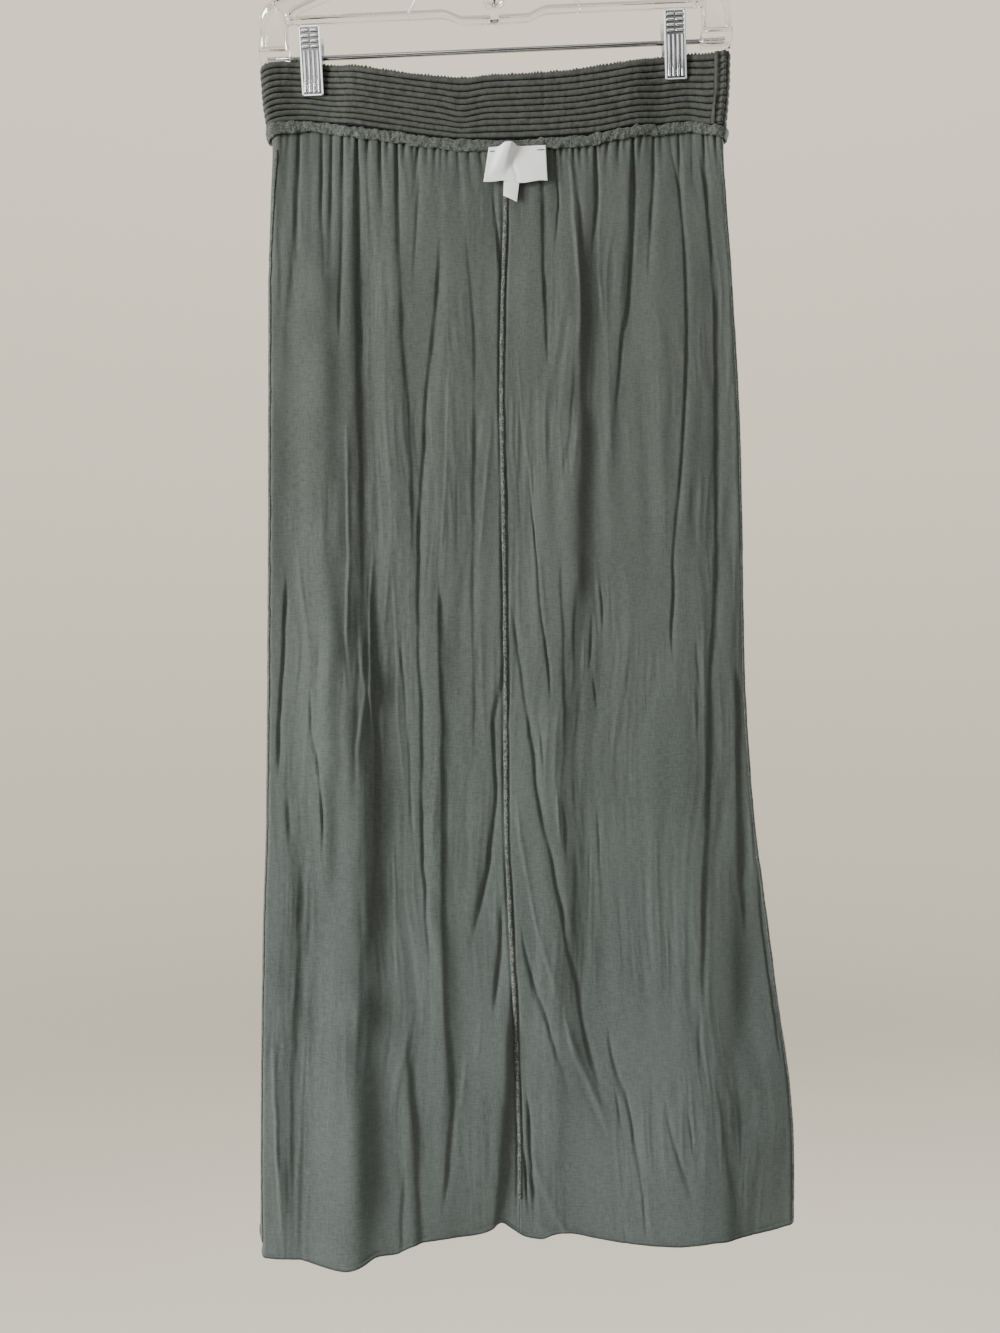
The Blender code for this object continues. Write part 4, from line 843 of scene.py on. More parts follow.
def thicken(piece: bpy.types.Object, thickness: float, offset: float = 0.0) -> None:
    """Gives a sheet its thickness.

    Args:
        piece: The sheet.
        thickness: In millimetres.
        offset: 0 to both sides of the sheet, -1 to its inner side.
    """
    modifier = piece.modifiers.new("thickness", "SOLIDIFY")
    modifier.thickness = thickness * MM
    modifier.offset = offset
    modifier.use_rim = True
    apply_modifiers(piece)


def dress(piece: bpy.types.Object, material: bpy.types.Material, slot: str, *nodes: str) -> None:
    """Gives a piece its finish and its place in the part.

    Args:
        piece: The piece.
        material: Its finish.
        slot: The part's slot for it; not used.
        nodes: The solids that it stands for.
    """
    piece.data.materials.clear()
    piece.data.materials.append(material)
    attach(piece, "root")
    if nodes:
        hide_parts(*nodes)
    LOG.info("%s: %d faces", piece.name, len(piece.data.polygons))


def threads(name: str, paths: Array, lift: Array, radius: float) -> bpy.types.Object:
    """Short lengths of sewing thread as one mesh.

    Args:
        name: The piece's name.
        paths: Lengths of thread, each a row of points.
        lift: The direction away from the cloth at each point.
        radius: Half the thread's thickness.

    Returns:
        The object, with four-sided threads.
    """
    count, steps = paths.shape[:2]
    way = np.gradient(paths, axis=1)
    way /= np.linalg.norm(way, axis=-1, keepdims=True)
    side = np.cross(way, lift)
    side /= np.linalg.norm(side, axis=-1, keepdims=True)
    up = np.cross(side, way)
    taper = np.full(steps, radius)
    taper[[0, -1]] = radius * 0.45
    taper = taper[None, :, None]
    points = np.stack([paths + taper * d for d in (side, up, -side, -up)], 2).reshape(-1, 3)
    first = (np.arange(count)[:, None] * steps + np.arange(steps - 1)) * 4
    quads = []
    for k in range(4):
        n = (k + 1) % 4
        quads.append(np.stack([first + k, first + n, first + 4 + n, first + 4 + k], -1).reshape(-1, 4))
    start = np.arange(count)[:, None] * steps * 4
    caps = np.concatenate([start + [3, 2, 1, 0], start + (steps - 1) * 4 + [0, 1, 2, 3]])
    mesh = bpy.data.meshes.new(name)
    mesh.from_pydata((points * MM).tolist(), [], np.concatenate([*quads, caps]).tolist())
    mesh.shade_smooth()
    return new_piece(name, mesh)


# ---- materials ----
Socket = bpy.types.NodeSocket
Colour = Triple


@dataclass
class Board:
    """A node tree to which nodes are added with their inputs."""

    tree: bpy.types.NodeTree

    def fill(self, node: bpy.types.Node, inputs: dict) -> None:
        """Sets a node's inputs.

        Args:
            node: The node.
            inputs: Values, or sockets to join, by the input's name or number.
        """
        for key, value in inputs.items():
            if isinstance(value, Socket):
                self.tree.links.new(value, node.inputs[key])
            else:
                node.inputs[key].default_value = value

    def add(self, kind: str, inputs: dict | None = None, **settings: object) -> bpy.types.Node:
        """Adds a node.

        Args:
            kind: The node's type, without ShaderNode.
            inputs: Values, or sockets to join, by the input's name or number.
            settings: Properties of the node.

        Returns:
            The node.
        """
        node = self.tree.nodes.new("ShaderNode" + kind)
        for key, value in settings.items():
            setattr(node, key, value)
        self.fill(node, inputs or {})
        return node

    def mix(self, factor: object, first: object, second: object, blend: str = "MIX") -> Socket:
        """A mix of two colours."""
        inputs = {0: factor, 6: first, 7: second}
        return self.add("Mix", inputs, data_type="RGBA", blend_type=blend).outputs[2]

    def maths(self, operation: str, first: object, second: object = 0.0) -> Socket:
        """A sum, product or other operation on two numbers."""
        return self.add("Math", {0: first, 1: second}, operation=operation).outputs[0]

    def plus(self, first: object, second: object, weight: object) -> Socket:
        """A sum of a number and another one times its weight."""
        return self.maths("ADD", first, self.maths("MULTIPLY", second, weight))

    def spread(
        self, value: object, low: float, high: float, to_low: float = 0.0, to_high: float = 1.0
    ) -> Socket:
        """A number moved from one range to another."""
        return self.add("MapRange", {0: value, 1: low, 2: high, 3: to_low, 4: to_high}).outputs[0]

    def read(self, name: str) -> Socket:
        """The number that a piece's points hold under a name."""
        return self.add("Attribute", attribute_name=name).outputs["Fac"]

    def stretched(self, place: Socket, scale: Triple) -> Socket:
        """A place scaled by its own number along each axis."""
        return self.add("Mapping", {"Vector": place, "Scale": scale}).outputs[0]

    def noise(self, place: Socket, scale: float, detail: float = 2.0) -> Socket:
        """Soft noise."""
        return self.add("TexNoise", {"Vector": place, "Scale": scale, "Detail": detail}).outputs[0]

    def bump(self, height: Socket, strength: float, distance: float) -> bpy.types.Node:
        """A relief that bends the light only."""
        return self.add("Bump", {"Height": height, "Strength": strength, "Distance": distance})


def rgba(colour: Colour, by: float = 1.0) -> tuple[float, float, float, float]:
    """A colour with full opacity, made lighter or darker by a factor."""
    return (*(c if by == 1.0 else min(1.0, c * by) for c in colour), 1.0)


def new_material(name: str) -> tuple[bpy.types.Material, Board, bpy.types.Node, Socket, Socket]:
    """A material to be filled in.

    Args:
        name: The material's name.

    Returns:
        The material, a board on its nodes, its shader, and the place on the cloth and in the object.
    """
    material = bpy.data.materials.new(name)
    material.use_nodes = True
    board = Board(material.node_tree)
    place = board.add("TexCoord").outputs
    return material, board, board.tree.nodes["Principled BSDF"], place["UV"], place["Object"]


def weave_group() -> bpy.types.NodeTree:
    """Threads that cross, uneven as spun yarn is.

    Returns:
        The group, which puts out the threads' height, and a tone from thick to thin.
    """
    group = bpy.data.node_groups.new("weave", "ShaderNodeTree")
    sockets = (("Vector", "Vector", None), ("Threads", "Float", 2400.0), ("Slub", "Float", 0.8))
    for name, kind, value in sockets:
        socket = group.interface.new_socket(name, in_out="INPUT", socket_type="NodeSocket" + kind)
        if value is not None:
            socket.default_value = value
    for name in ("Height", "Tone"):
        group.interface.new_socket(name, in_out="OUTPUT", socket_type="NodeSocketFloat")
    board = Board(group)
    place, count, unevenness = group.nodes.new("NodeGroupInput").outputs[:3]
    result = group.nodes.new("NodeGroupOutput")
    parts = board.add("SeparateXYZ", {0: place})
    waves = []
    for axis in (0, 1):
        angle = board.maths("MULTIPLY", parts.outputs[axis], count)
        waves.append(board.maths("SINE", board.maths("MULTIPLY", angle, TAU)))
    scales = ((820, 150, 1), (130, 820, 1))
    streaks = [board.noise(board.stretched(place, scale), 1.0, 3.0) for scale in scales]
    slub = board.maths("ADD", *streaks)
    height = board.plus(board.maths("MULTIPLY", *waves), slub, unevenness)
    board.fill(result, {0: height, 1: board.spread(slub, 0.7, 1.3)})
    return group


@dataclass(frozen=True)
class WovenCloth:
    """Thin matt woven cloth that lets a little light through.

    Attributes:
        name: The material's name.
        colour: Its thin, darker places.
        pale: Its thick, lighter ones.
        cast: What multiplies both low on the skirt.
        shaded: Painted shade along the hem's rolled lower edge, where it turns under.
        through: Share of the light that passes.
        roughness: Roughness of its face.
    """

    name: str
    colour: Colour
    pale: Colour
    cast: Colour
    shaded: Colour = (0.03, 0.033, 0.028)
    through: float = 0.12
    roughness: float = 0.88

    def make(self, weave: bpy.types.NodeTree) -> bpy.types.Material:
        """Builds the material.

        Args:
            weave: The group of the weave.

        Returns:
            The material.
        """
        material, board, front, on_cloth, place = new_material(self.name)
        woven = board.add("Group", node_tree=weave)
        board.fill(woven, {0: on_cloth})
        mottle = board.noise(on_cloth, 700.0)
        tone = board.plus(board.noise(place, 9.0, 3.0), self.streaks(board, on_cloth), 0.5)
        tone = board.plus(board.plus(tone, woven.outputs[1], 0.9), mottle, 0.9)
        warm = board.mix(board.spread(tone, 1.1, 2.2), rgba(self.colour), rgba(self.pale))
        cool = board.mix(1.0, warm, rgba(self.cast), "MULTIPLY")
        height = board.add("SeparateXYZ", {0: place}).outputs[2]
        colour = board.mix(board.spread(height, -0.45, -1.0), warm, cool)
        # Painted shade: the hem's lowest edge is darkened towards the shaded colour, masked by the edge
        # attribute.
        colour = board.mix(board.read("edge"), colour, rgba(self.shaded))
        soft = board.bump(self.rumples(board, on_cloth), 0.55, 0.0008)
        grain = board.bump(board.plus(woven.outputs[0], mottle, 4.0), 0.5, 0.00012)
        board.fill(grain, {"Normal": soft.outputs[0]})
        board.fill(front, {
            "Base Color": colour, "Roughness": self.roughness, "Normal": grain.outputs[0],
            "Sheen Weight": 0.06, "Sheen Roughness": 0.5, "Specular IOR Level": 0.25,
        })
        behind = board.add("BsdfTranslucent", {"Color": colour, "Normal": grain.outputs[0]})
        both = board.add("MixShader", {0: self.through, 1: front.outputs[0], 2: behind.outputs[0]})
        board.fill(board.tree.nodes["Material Output"], {0: both.outputs[0]})
        return material

    def streaks(self, board: Board, on_cloth: Socket) -> Socket:
        """Faint streaks of tone along the cloth."""
        return board.noise(board.stretched(on_cloth, (420, 45, 1)), 1.0, 4.0)

    def rumples(self, board: Board, on_cloth: Socket) -> Socket:
        """Fine crossing wrinkles, in patches.

        Args:
            board: The material's board.
            on_cloth: Place on the cloth.

        Returns:
            Their height.
        """
        settings = {"Scale": 1.0, "Detail": 3.0, "Roughness": 0.6, "Distortion": 0.5}
        place = board.stretched(on_cloth, (62, 11, 1))
        lines = board.add("TexNoise", {"Vector": place, **settings}, noise_type="RIDGED_MULTIFRACTAL")
        patch = board.noise(board.stretched(on_cloth, (17, 7, 1)), 1.0)
        return board.maths("MULTIPLY", lines.outputs[0], board.spread(patch, 0.4, 0.65, 0.15, 1.0))


@dataclass(frozen=True)
class CordedElastic:
    """Ribbed elastic with painted shade in its grooves, and fine stitches across its cords."""

    name: str
    colour: Colour
    painted_groove_shade: Colour

    def make(self) -> bpy.types.Material:
        """Builds the material.

        Returns:
            The material.
        """
        material, board, shader, on_cloth, place = new_material(self.name)
        knit = board.noise(board.stretched(on_cloth, (1500, 260, 1)), 1.0)
        fibre = board.plus(knit, board.noise(place, 420.0, 3.0), 0.8)
        tone = board.spread(fibre, 0.65, 1.15, 0.72, 1.3)
        # Painted shade: by the crest attribute, the low places of the ribs and the seam, and the band's
        # inside, are darkened towards the groove colour.
        lit = board.mix(board.spread(board.read("crest"), 0.42, 0.98), rgba(self.painted_groove_shade), rgba(self.colour))
        shade = board.add("CombineColor", {0: tone, 1: tone, 2: tone})
        board.fill(shader, {
            "Base Color": board.mix(1.0, lit, shade.outputs[0], "MULTIPLY"),
            "Normal": board.bump(fibre, 0.6, 0.0004).outputs[0],
            "Roughness": 0.92, "Sheen Weight": 0.15, "Specular IOR Level": 0.2,
        })
        return material


@dataclass(frozen=True)
class Overlock:
    """Looped sewing thread over cloth: speckled, with painted shade in the pits between the loops."""

    name: str
    colour: Colour
    pit_shade: Colour
    pale: Colour

    def make(self) -> bpy.types.Material:
        """Builds the material.

        Returns:
            The material.
        """
        material, board, shader, _, place = new_material(self.name)
        loops = board.add("TexVoronoi", {"Vector": place, "Scale": 760.0}).outputs[0]
        tone = board.plus(board.spread(loops, 0.0, 0.75, 1.0, 0.0), board.noise(place, 300.0, 4.0), 1.1)
        ramp = board.add("ValToRGB", {0: board.spread(tone, 0.6, 1.6)})
        # Painted shade: the darkest end of the ramp, at the pits between the loops.
        ramp.color_ramp.elements[0].color = rgba(self.pit_shade)
        ramp.color_ramp.elements[1].color = rgba(self.pale)
        ramp.color_ramp.elements.new(0.45).color = rgba(self.colour)
        board.fill(shader, {
            "Base Color": ramp.outputs[0], "Normal": board.bump(tone, 0.7, 0.0005).outputs[0],
            "Roughness": 0.9, "Sheen Weight": 0.1, "Specular IOR Level": 0.25,
        })
        return material


@dataclass(frozen=True)
class Satin:
    """Smooth white ribbon with fine lines of weave."""

    name: str
    colour: Colour

    def make(self) -> bpy.types.Material:
        """Builds the material.

        Returns:
            The material.
        """
        material, board, shader, on_cloth, place = new_material(self.name)
        lines = board.noise(board.stretched(on_cloth, (2600, 500, 1)), 1.0, 1.0)
        tone = board.spread(board.maths("ADD", lines, board.noise(place, 90.0)), 0.6, 1.4)
        board.fill(shader, {
            "Base Color": board.mix(tone, rgba(self.colour, 0.94), rgba(self.colour, 1.05)),
            "Normal": board.bump(lines, 0.25, 0.0001).outputs[0],
            "Roughness": 0.5, "Sheen Weight": 0.2,
        })
        return material


@dataclass(frozen=True)
class Chrome:
    """Bright plated metal, a little worn, with painted shade in its recesses."""

    name: str
    colour: Colour
    roughness: float

    def make(self) -> bpy.types.Material:
        """Builds the material.

        Returns:
            The material.
        """
        material, board, shader, _, place = new_material(self.name)
        smear = board.noise(place, 180.0, 4.0)
        plated = board.mix(board.spread(smear, 0.3, 0.7), rgba(self.colour, 0.86), rgba(self.colour))
        # Painted shade: recess floors are darkened to a sixth of the plate's colour.
        deep = board.spread(board.read("painted_recess_shade"), 0.45, 1.0)
        board.fill(shader, {
            "Base Color": board.mix(deep, plated, rgba(self.colour, 0.16)),
            "Roughness": board.spread(smear, 0.35, 0.7, self.roughness * 0.6, self.roughness * 1.7),
            "Normal": board.bump(smear, 0.06, 0.0003).outputs[0],
            "Metallic": 1.0,
        })
        return material


@dataclass(frozen=True)
class ClearPlastic:
    """Clear moulded plastic with faint flow marks."""

    name: str
    colour: Colour

    def make(self) -> bpy.types.Material:
        """Builds the material.

        Returns:
            The material.
        """
        material, board, shader, _, place = new_material(self.name)
        flow = board.noise(place, 45.0, 3.0)
        board.fill(shader, {
            "Base Color": rgba(self.colour), "Transmission Weight": 1.0, "IOR": 1.45,
            "Roughness": board.spread(flow, 0.35, 0.7, 0.02, 0.12),
            "Normal": board.bump(flow, 0.08, 0.001).outputs[0],
        })
        return material


@dataclass
class Panels:
    """The two back panels and the front panel, with their narrow rolled hem."""

    cloth: bpy.types.Material
    thickness: float = 0.55
    near_step: float = 0.88
    far_step: float = 2.2
    hem_height: float = 3.2
    shaded_height: float = 1.7
    seam_gap: float = 1.0

    def rows(self, fine: float, coarse: float) -> Array:
        """Rows of a panel, close together at the gathers and at the hem.

        Args:
            fine: How far apart they are at the gathers.
            coarse: The same in the panel's middle.

        Returns:
            Their drops as shares of the panel's length.
        """
        top = np.arange(0, 60, fine)
        middle = np.linspace(60, PANEL_LENGTH - 16, int((PANEL_LENGTH - 76) / coarse))
        low = PANEL_LENGTH - np.array([12, 9, 7.2, 6.4, 6, 5.6, 4.6, 3.4, 2, 0.9, 0.3, 0])
        return np.concatenate([top, middle, low]) / PANEL_LENGTH

    def shares(self, start: float, end: float) -> Array:
        """Columns of a back panel, close at a side seam.

        Args:
            start: Share of the near layer's width at the panel's left.
            end: The same at its right.

        Returns:
            The share for each column.
        """
        edge = np.array([0, 0.15, 0.5, 1.0, 1.7, 2.6, 3.7]) / SKIRT_WIDTH
        step = self.near_step / SKIRT_WIDTH
        left = edge if start == 0 else np.array([0.0])
        right = edge if end == 1 else np.array([0.0])
        inside = np.arange(start + left[-1] + step, end - right[-1] - step / 2, step)
        return np.concatenate([start + left, inside, end - right[::-1]])

    def hem_relief(self, drop_left: Array) -> Array:
        """How far the hem's fold stands out: a soft roll with a sewn line above it."""
        roll = 0.75 * ease((self.hem_height - drop_left) / 1.4) * ease((drop_left + 0.6) / 1.4)
        return roll - 0.45 * bell(drop_left - self.hem_height - 0.3, 0.7)

    def back(self, node: str, start: float, end: float) -> None:
        """Builds one back panel.

        Args:
            node: The solid that it stands for.
            start: Share of the near layer's width at its left.
            end: The same at its right.
        """
        shares = self.shares(start, end)
        rows = self.rows(2.2, 5.6)
        x_top = DRAPE.across(shares, np.full_like(shares, BELOW_BAND), Layer.NEAR)[0]
        x_low = DRAPE.across(shares, np.full_like(shares, ABOVE_HEM), Layer.NEAR)[0]
        top = DRAPE.seam_down(x_top) + self.seam_gap
        downs = top + (DRAPE.hem_down(x_low, Layer.NEAR) - top) * rows[:, None]
        self.sewn(node, DRAPE.point(shares[None], downs, Layer.NEAR), cloth_uv(shares * 0.5, downs), rows)

    def front(self, node: str) -> None:
        """Builds the front panel, which turns round both sides to the back panels.

        Args:
            node: The solid that it stands for.
        """
        stretch, along = DRAPE.round_the_skirt(self.near_step, self.far_step)
        keep = stretch != Stretch.NEAR
        stretch, along = stretch[keep], along[keep]
        rows = self.rows(3.0, 6.5)
        levels = np.array([[BELOW_BAND], [ABOVE_HEM]]) * np.ones(len(along))
        probe = DRAPE.ring(stretch, along, levels)
        share = np.where(stretch == Stretch.FAR, 1.0, along)
        top = DRAPE.seam_down(probe[0, :, 0]) + self.seam_gap
        low = DRAPE.hem_down(probe[1, :, 0], Layer.NEAR) * (1 - share)
        low = low + DRAPE.hem_down(probe[1, :, 0], Layer.FAR) * share
        downs = top + (low - top) * rows[:, None]
        uv = cloth_uv(way_round(probe[0]) * MM * 1.2, downs)
        self.sewn(node, DRAPE.ring(stretch, along, downs), uv, rows)

    def sewn(self, node: str, points: Array, uv: Array, rows: Array) -> None:
        """Makes a panel over its points, with the fold of its hem and painted shade along the hem's lower
        edge.

        Args:
            node: The solid that it stands for.
            points: Middle of its cloth.
            uv: Places on the cloth.
            rows: Drop of each row as a share of its length.
        """
        drop_left = (1 - rows) * PANEL_LENGTH
        points = points + outward(points) * self.hem_relief(drop_left)[:, None, None]
        piece = grid_piece(node + "_cloth", points, uv)
        # Painted shade: the lowest rows of the hem are darkened, where the rolled edge turns under.
        edge = ease((self.shaded_height - drop_left) / 1.1)
        attribute(piece, "edge", np.repeat(edge[:, None], points.shape[1], axis=1))
        thicken(piece, self.thickness)
        dress(piece, self.cloth, "sage_cloth", node)

    def build(self) -> None:
        """Builds and dresses the three panels."""
        self.back("back_panel_left", 0.0, SEAM_SHARE)
        self.back("back_panel_right", SEAM_SHARE, 1.0)
        self.front("front_panel")


@dataclass
class Waistband:
    """A ring of corded elastic with a toothed upper edge and a bulky side seam."""

    elastic: bpy.types.Material
    ribs: int = 10
    rib_rows: int = 8
    wall: float = 1.2
    rib_height: float = 1.9
    sag: float = 2.6
    sag_at: float = -20.5
    dent: float = 1.6
    dent_at: float = -182.0
    tooth: float = 2.7
    seam_shares: tuple[float, float] = (0.9655, 0.9935)
    grain: Grain = field(default_factory=lambda: Grain(23))

    def heights(self, x: Array, near: Array, share: Array) -> Array:
        """Heights on the band.

        Args:
            x: Places across.
            near: 1 on the near layer and 0 elsewhere.
            share: Share of the way from the band's upper edge to its seam.

        Returns:
            The height of each point.
        """
        top, low = DRAPE.band_top(x), DRAPE.seam_down(x) - 0.2
        arch = np.sin(math.pi * share)
        dip = self.sag * bell(x - self.sag_at, 13.0) * arch * near
        dip = dip + self.dent * bell(x - self.dent_at, 7.0) * arch**0.5
        wander = 0.5 * self.grain.at(x / 24, share * 5 + 3) * arch
        return top + (low - top) * share + dip + wander

    def build(self) -> None:
        """Builds and dresses the band, its edge and its seam."""
        stretch, along = DRAPE.round_the_skirt(1.7, 2.8)
        probe = DRAPE.ring(stretch, along, np.full((1, len(along)), 215.0))[0, :, 0]
        near = (stretch == Stretch.NEAR).astype(float)
        t = np.linspace(0, 1, self.ribs * self.rib_rows + 1)
        inside = np.linspace(1, 0, 12)
        share = np.concatenate([t, inside])[:, None]
        downs = self.heights(probe[None], near[None], share)
        middle = DRAPE.ring(stretch, along, downs)
        half = len(t)
        away = np.concatenate([outward(middle[:half], True), -outward(middle[half:], True)])
        phase = (t * self.ribs) % 1.0
        profile = np.sqrt(np.clip(1 - (2 * phase - 1) ** 2, 0, 1)) ** 0.8
        lump = 1 + 0.16 * self.grain.at(probe[None] / 3.1 + 40 * stretch, t[:, None] * self.ribs + 50)
        raised = np.concatenate([profile[:, None] * lump, np.zeros((len(inside), len(probe)))])
        out = self.wall / 2 - 0.4 + self.rib_height * raised
        out[half:] = -self.wall / 2
        uv = cloth_uv(way_round(middle[half // 2]) * MM, downs)
        band = grid_piece("waistband_elastic", middle + out[..., None] * away, uv, (True, True))
        # The crest attribute masks painted shade: the grooves between ribs and the band's inside are painted
        # darker.
        attribute(band, "crest", np.concatenate([raised[:half], np.full_like(raised[half:], 0.6)]))
        dress(band, self.elastic, "ribbed_band", "waistband")
        self.edge()
        self.side_seam()

    def edge(self) -> None:
        """Builds the fine toothed edge on top of the band."""
        stretch, along = DRAPE.round_the_skirt(0.55, 0.8)
        probe = DRAPE.ring(stretch, along, np.full((1, len(along)), 195.0))[0]
        way = way_round(probe)
        beat = way / self.tooth + 0.35 * self.grain.at(way / 9, 7.0)
        tall = 0.25 + 0.75 * abs(np.sin(math.pi * beat)) ** 0.7 * (1 + 0.35 * self.grain.at(way / 4, 2.0))
        angle = np.linspace(0, TAU, 9)[:-1]
        top = DRAPE.band_top(probe[:, 0])
        downs = top + 1.3 - (np.cos(angle)[:, None] + 0.75) * (0.1 + 1.6 * tall)
        middle = DRAPE.ring(stretch, along, downs)
        flat = DRAPE.ring(stretch, along, np.stack([top, top + 2.0]))
        away = outward(flat, True)[:1]
        points = middle + (0.95 * np.sin(angle)[:, None, None] + 0.35) * away
        rim = grid_piece("waistband_edge", points, cloth_uv(way * MM, downs), (True, True))
        # The toothed edge gets a little of the same painted shade.
        attribute(rim, "crest", np.full(downs.shape, 0.8))
        dress(rim, self.elastic, "ribbed_band")

    def side_seam(self) -> None:
        """Builds the overlocked seam on the right, where the end of each rib makes a knob."""
        shares = np.linspace(*self.seam_shares, 26)
        t = np.linspace(0, 1, 170)[:, None]
        x = DRAPE.across(shares, np.full_like(shares, 215.0), Layer.NEAR)[0]
        downs = self.heights(x[None], np.ones((1, 26)), t)
        middle = DRAPE.point(shares[None], downs, Layer.NEAR)
        across = np.linspace(0, 1, 26)[None]
        knob = abs(np.sin(math.pi * (t * self.ribs * 1.1 + 0.25 * across)))
        relief = 0.3 + 0.9 * bell(across - 0.22, 0.2) + 1.2 * knob**0.7 * bell(across - 0.78, 0.2)
        relief += 0.18 * self.grain.at(x[None] / 2.1 + 9, downs / 2.4)
        relief *= ease(across / 0.06) * ease((1 - across) / 0.03)
        out = self.wall / 2 + self.rib_height * 0.75 + relief * 1.5
        strip = grid_piece("waistband_seam_thread", middle + out[..., None] * outward(middle))
        # Painted shade in the seam's low places, between its knobs.
        attribute(strip, "crest", 0.15 + 0.8 * relief)
        thicken(strip, 0.7, -1.0)
        dress(strip, self.elastic, "ribbed_band", "waistband_seam")


@dataclass
class WaistRoll:
    """The overlocked roll of seam allowance under the waistband, lumpy from the gathers."""

    thread: bpy.types.Material
    height: float = 4.5
    drop: float = 5.7
    stand: float = 2.2
    thick: float = 1.6
    label_x: float = 25.0
    label_half: float = 26.0
    grain: Grain = field(default_factory=lambda: Grain(31))

    def build(self) -> None:
        """Builds and dresses the roll."""
        stretch, along = DRAPE.round_the_skirt(0.85, 1.5)
        probe = DRAPE.ring(stretch, along, np.full((1, len(along)), 247.0))[0]
        way = way_round(probe)
        angle = np.linspace(0, TAU, 19)[:-1][:, None]
        fine = self.grain.at(way / 1.9, angle * 1.3 + 5)
        twist = self.grain.at(way / 3.1 + 1.2 * angle, angle * 0.9 + 40)
        broad = self.grain.at(way / 6.5, angle * 0.8 + 20)
        beneath = bell((probe[:, 0] - self.label_x) / self.label_half, 1.0) * (stretch == Stretch.NEAR)
        swell = 1 + 0.22 * broad + 0.13 * twist + 0.05 * fine
        shift = 0.7 * self.grain.at(way / 17, 3.0)
        drop = self.drop + shift - self.height * swell * blunt(np.cos(angle))
        out = self.stand + self.thick * swell * blunt(np.sin(angle))
        out += (0.35 * fine + 0.3 * twist - 1.1 * beneath) * (np.sin(angle) > -0.2)
        seam = DRAPE.seam_down(probe[:, 0])
        downs = seam + drop
        level = seam + np.linspace(1, 12, 6)[:, None]
        away = outward(DRAPE.ring(stretch, along, level, True), True)[2:3]
        middle = DRAPE.ring(stretch, along, np.minimum(downs, downs.min(0) + 12.5), True)
        points = middle + out[..., None] * away
        roll = grid_piece("waist_seam_thread", points, None, (True, True))
        dress(roll, self.thread, "overlock", "waist_seam")


@dataclass
class SeamStrip:
    """An overlocked seam allowance that lies on the near layer, bound with thread loops.

    Attributes:
        name: The strip's name.
        node: The solid that it stands for.
        share: Share of the near layer's width where it lies.
        low: Its left edge, from there.
        high: Its right edge, from there.
        top: Height of its upper end.
        bottom: Height of its lower end.
        thread: Its finish.
        pitch: How far apart the loops are.
        seed: Seed of its wobble.
    """

    name: str
    node: str
    share: float
    low: float
    high: float
    top: float
    bottom: float
    thread: bpy.types.Material
    pitch: float = 1.9
    seed: int = 3

    def place(self, across: Array, down: Array, lift: float) -> tuple[Array, Array]:
        """Places on the strip.

        Args:
            across: Places to the right of the seam.
            down: Heights.
            lift: How far above the cloth.

        Returns:
            The points, and the directions away from the cloth.
        """
        across, down = np.broadcast_arrays(across, down)
        grain = Grain(self.seed)
        _, left, right = DRAPE.across(np.ones_like(down), down, Layer.NEAR)
        wobble = 0.25 * grain.at(down / 9, 1.0) + 0.12 * grain.at(down / 2.1, 6.0)
        share = self.share + (across + wobble * np.sign(across)) / (right - left)
        points = DRAPE.point(share, down, Layer.NEAR)
        away = outward(points)
        return points + lift * away, away

    def build(self) -> None:
        """Builds and dresses the strip and its loops."""
        down = np.arange(self.top, self.bottom, 2.2)[:, None]
        points, away = self.place(np.linspace(self.low, self.high, 9)[None], down, 0.55)
        crown = 0.4 * np.sin(math.pi * np.linspace(0, 1, 9)) ** 0.5
        strip = grid_piece(self.name, points + crown[None, :, None] * away)
        thicken(strip, 0.5)
        dress(strip, self.thread, "overlock", self.node)
        start = np.arange(self.top + 1, self.bottom - 2, self.pitch)[:, None]
        way = np.linspace(0, 1, 7)[None]
        reach = self.low - 0.25 + (self.high - self.low + 0.5) * way
        points, away = self.place(reach, start + 1.3 * way, 0.8)
        bow = 0.42 * np.sin(math.pi * way) ** 0.4 - 0.25
        loops = threads(self.name + "_loops", points + bow[..., None] * away, away, 0.2)
        dress(loops, self.thread, "overlock")


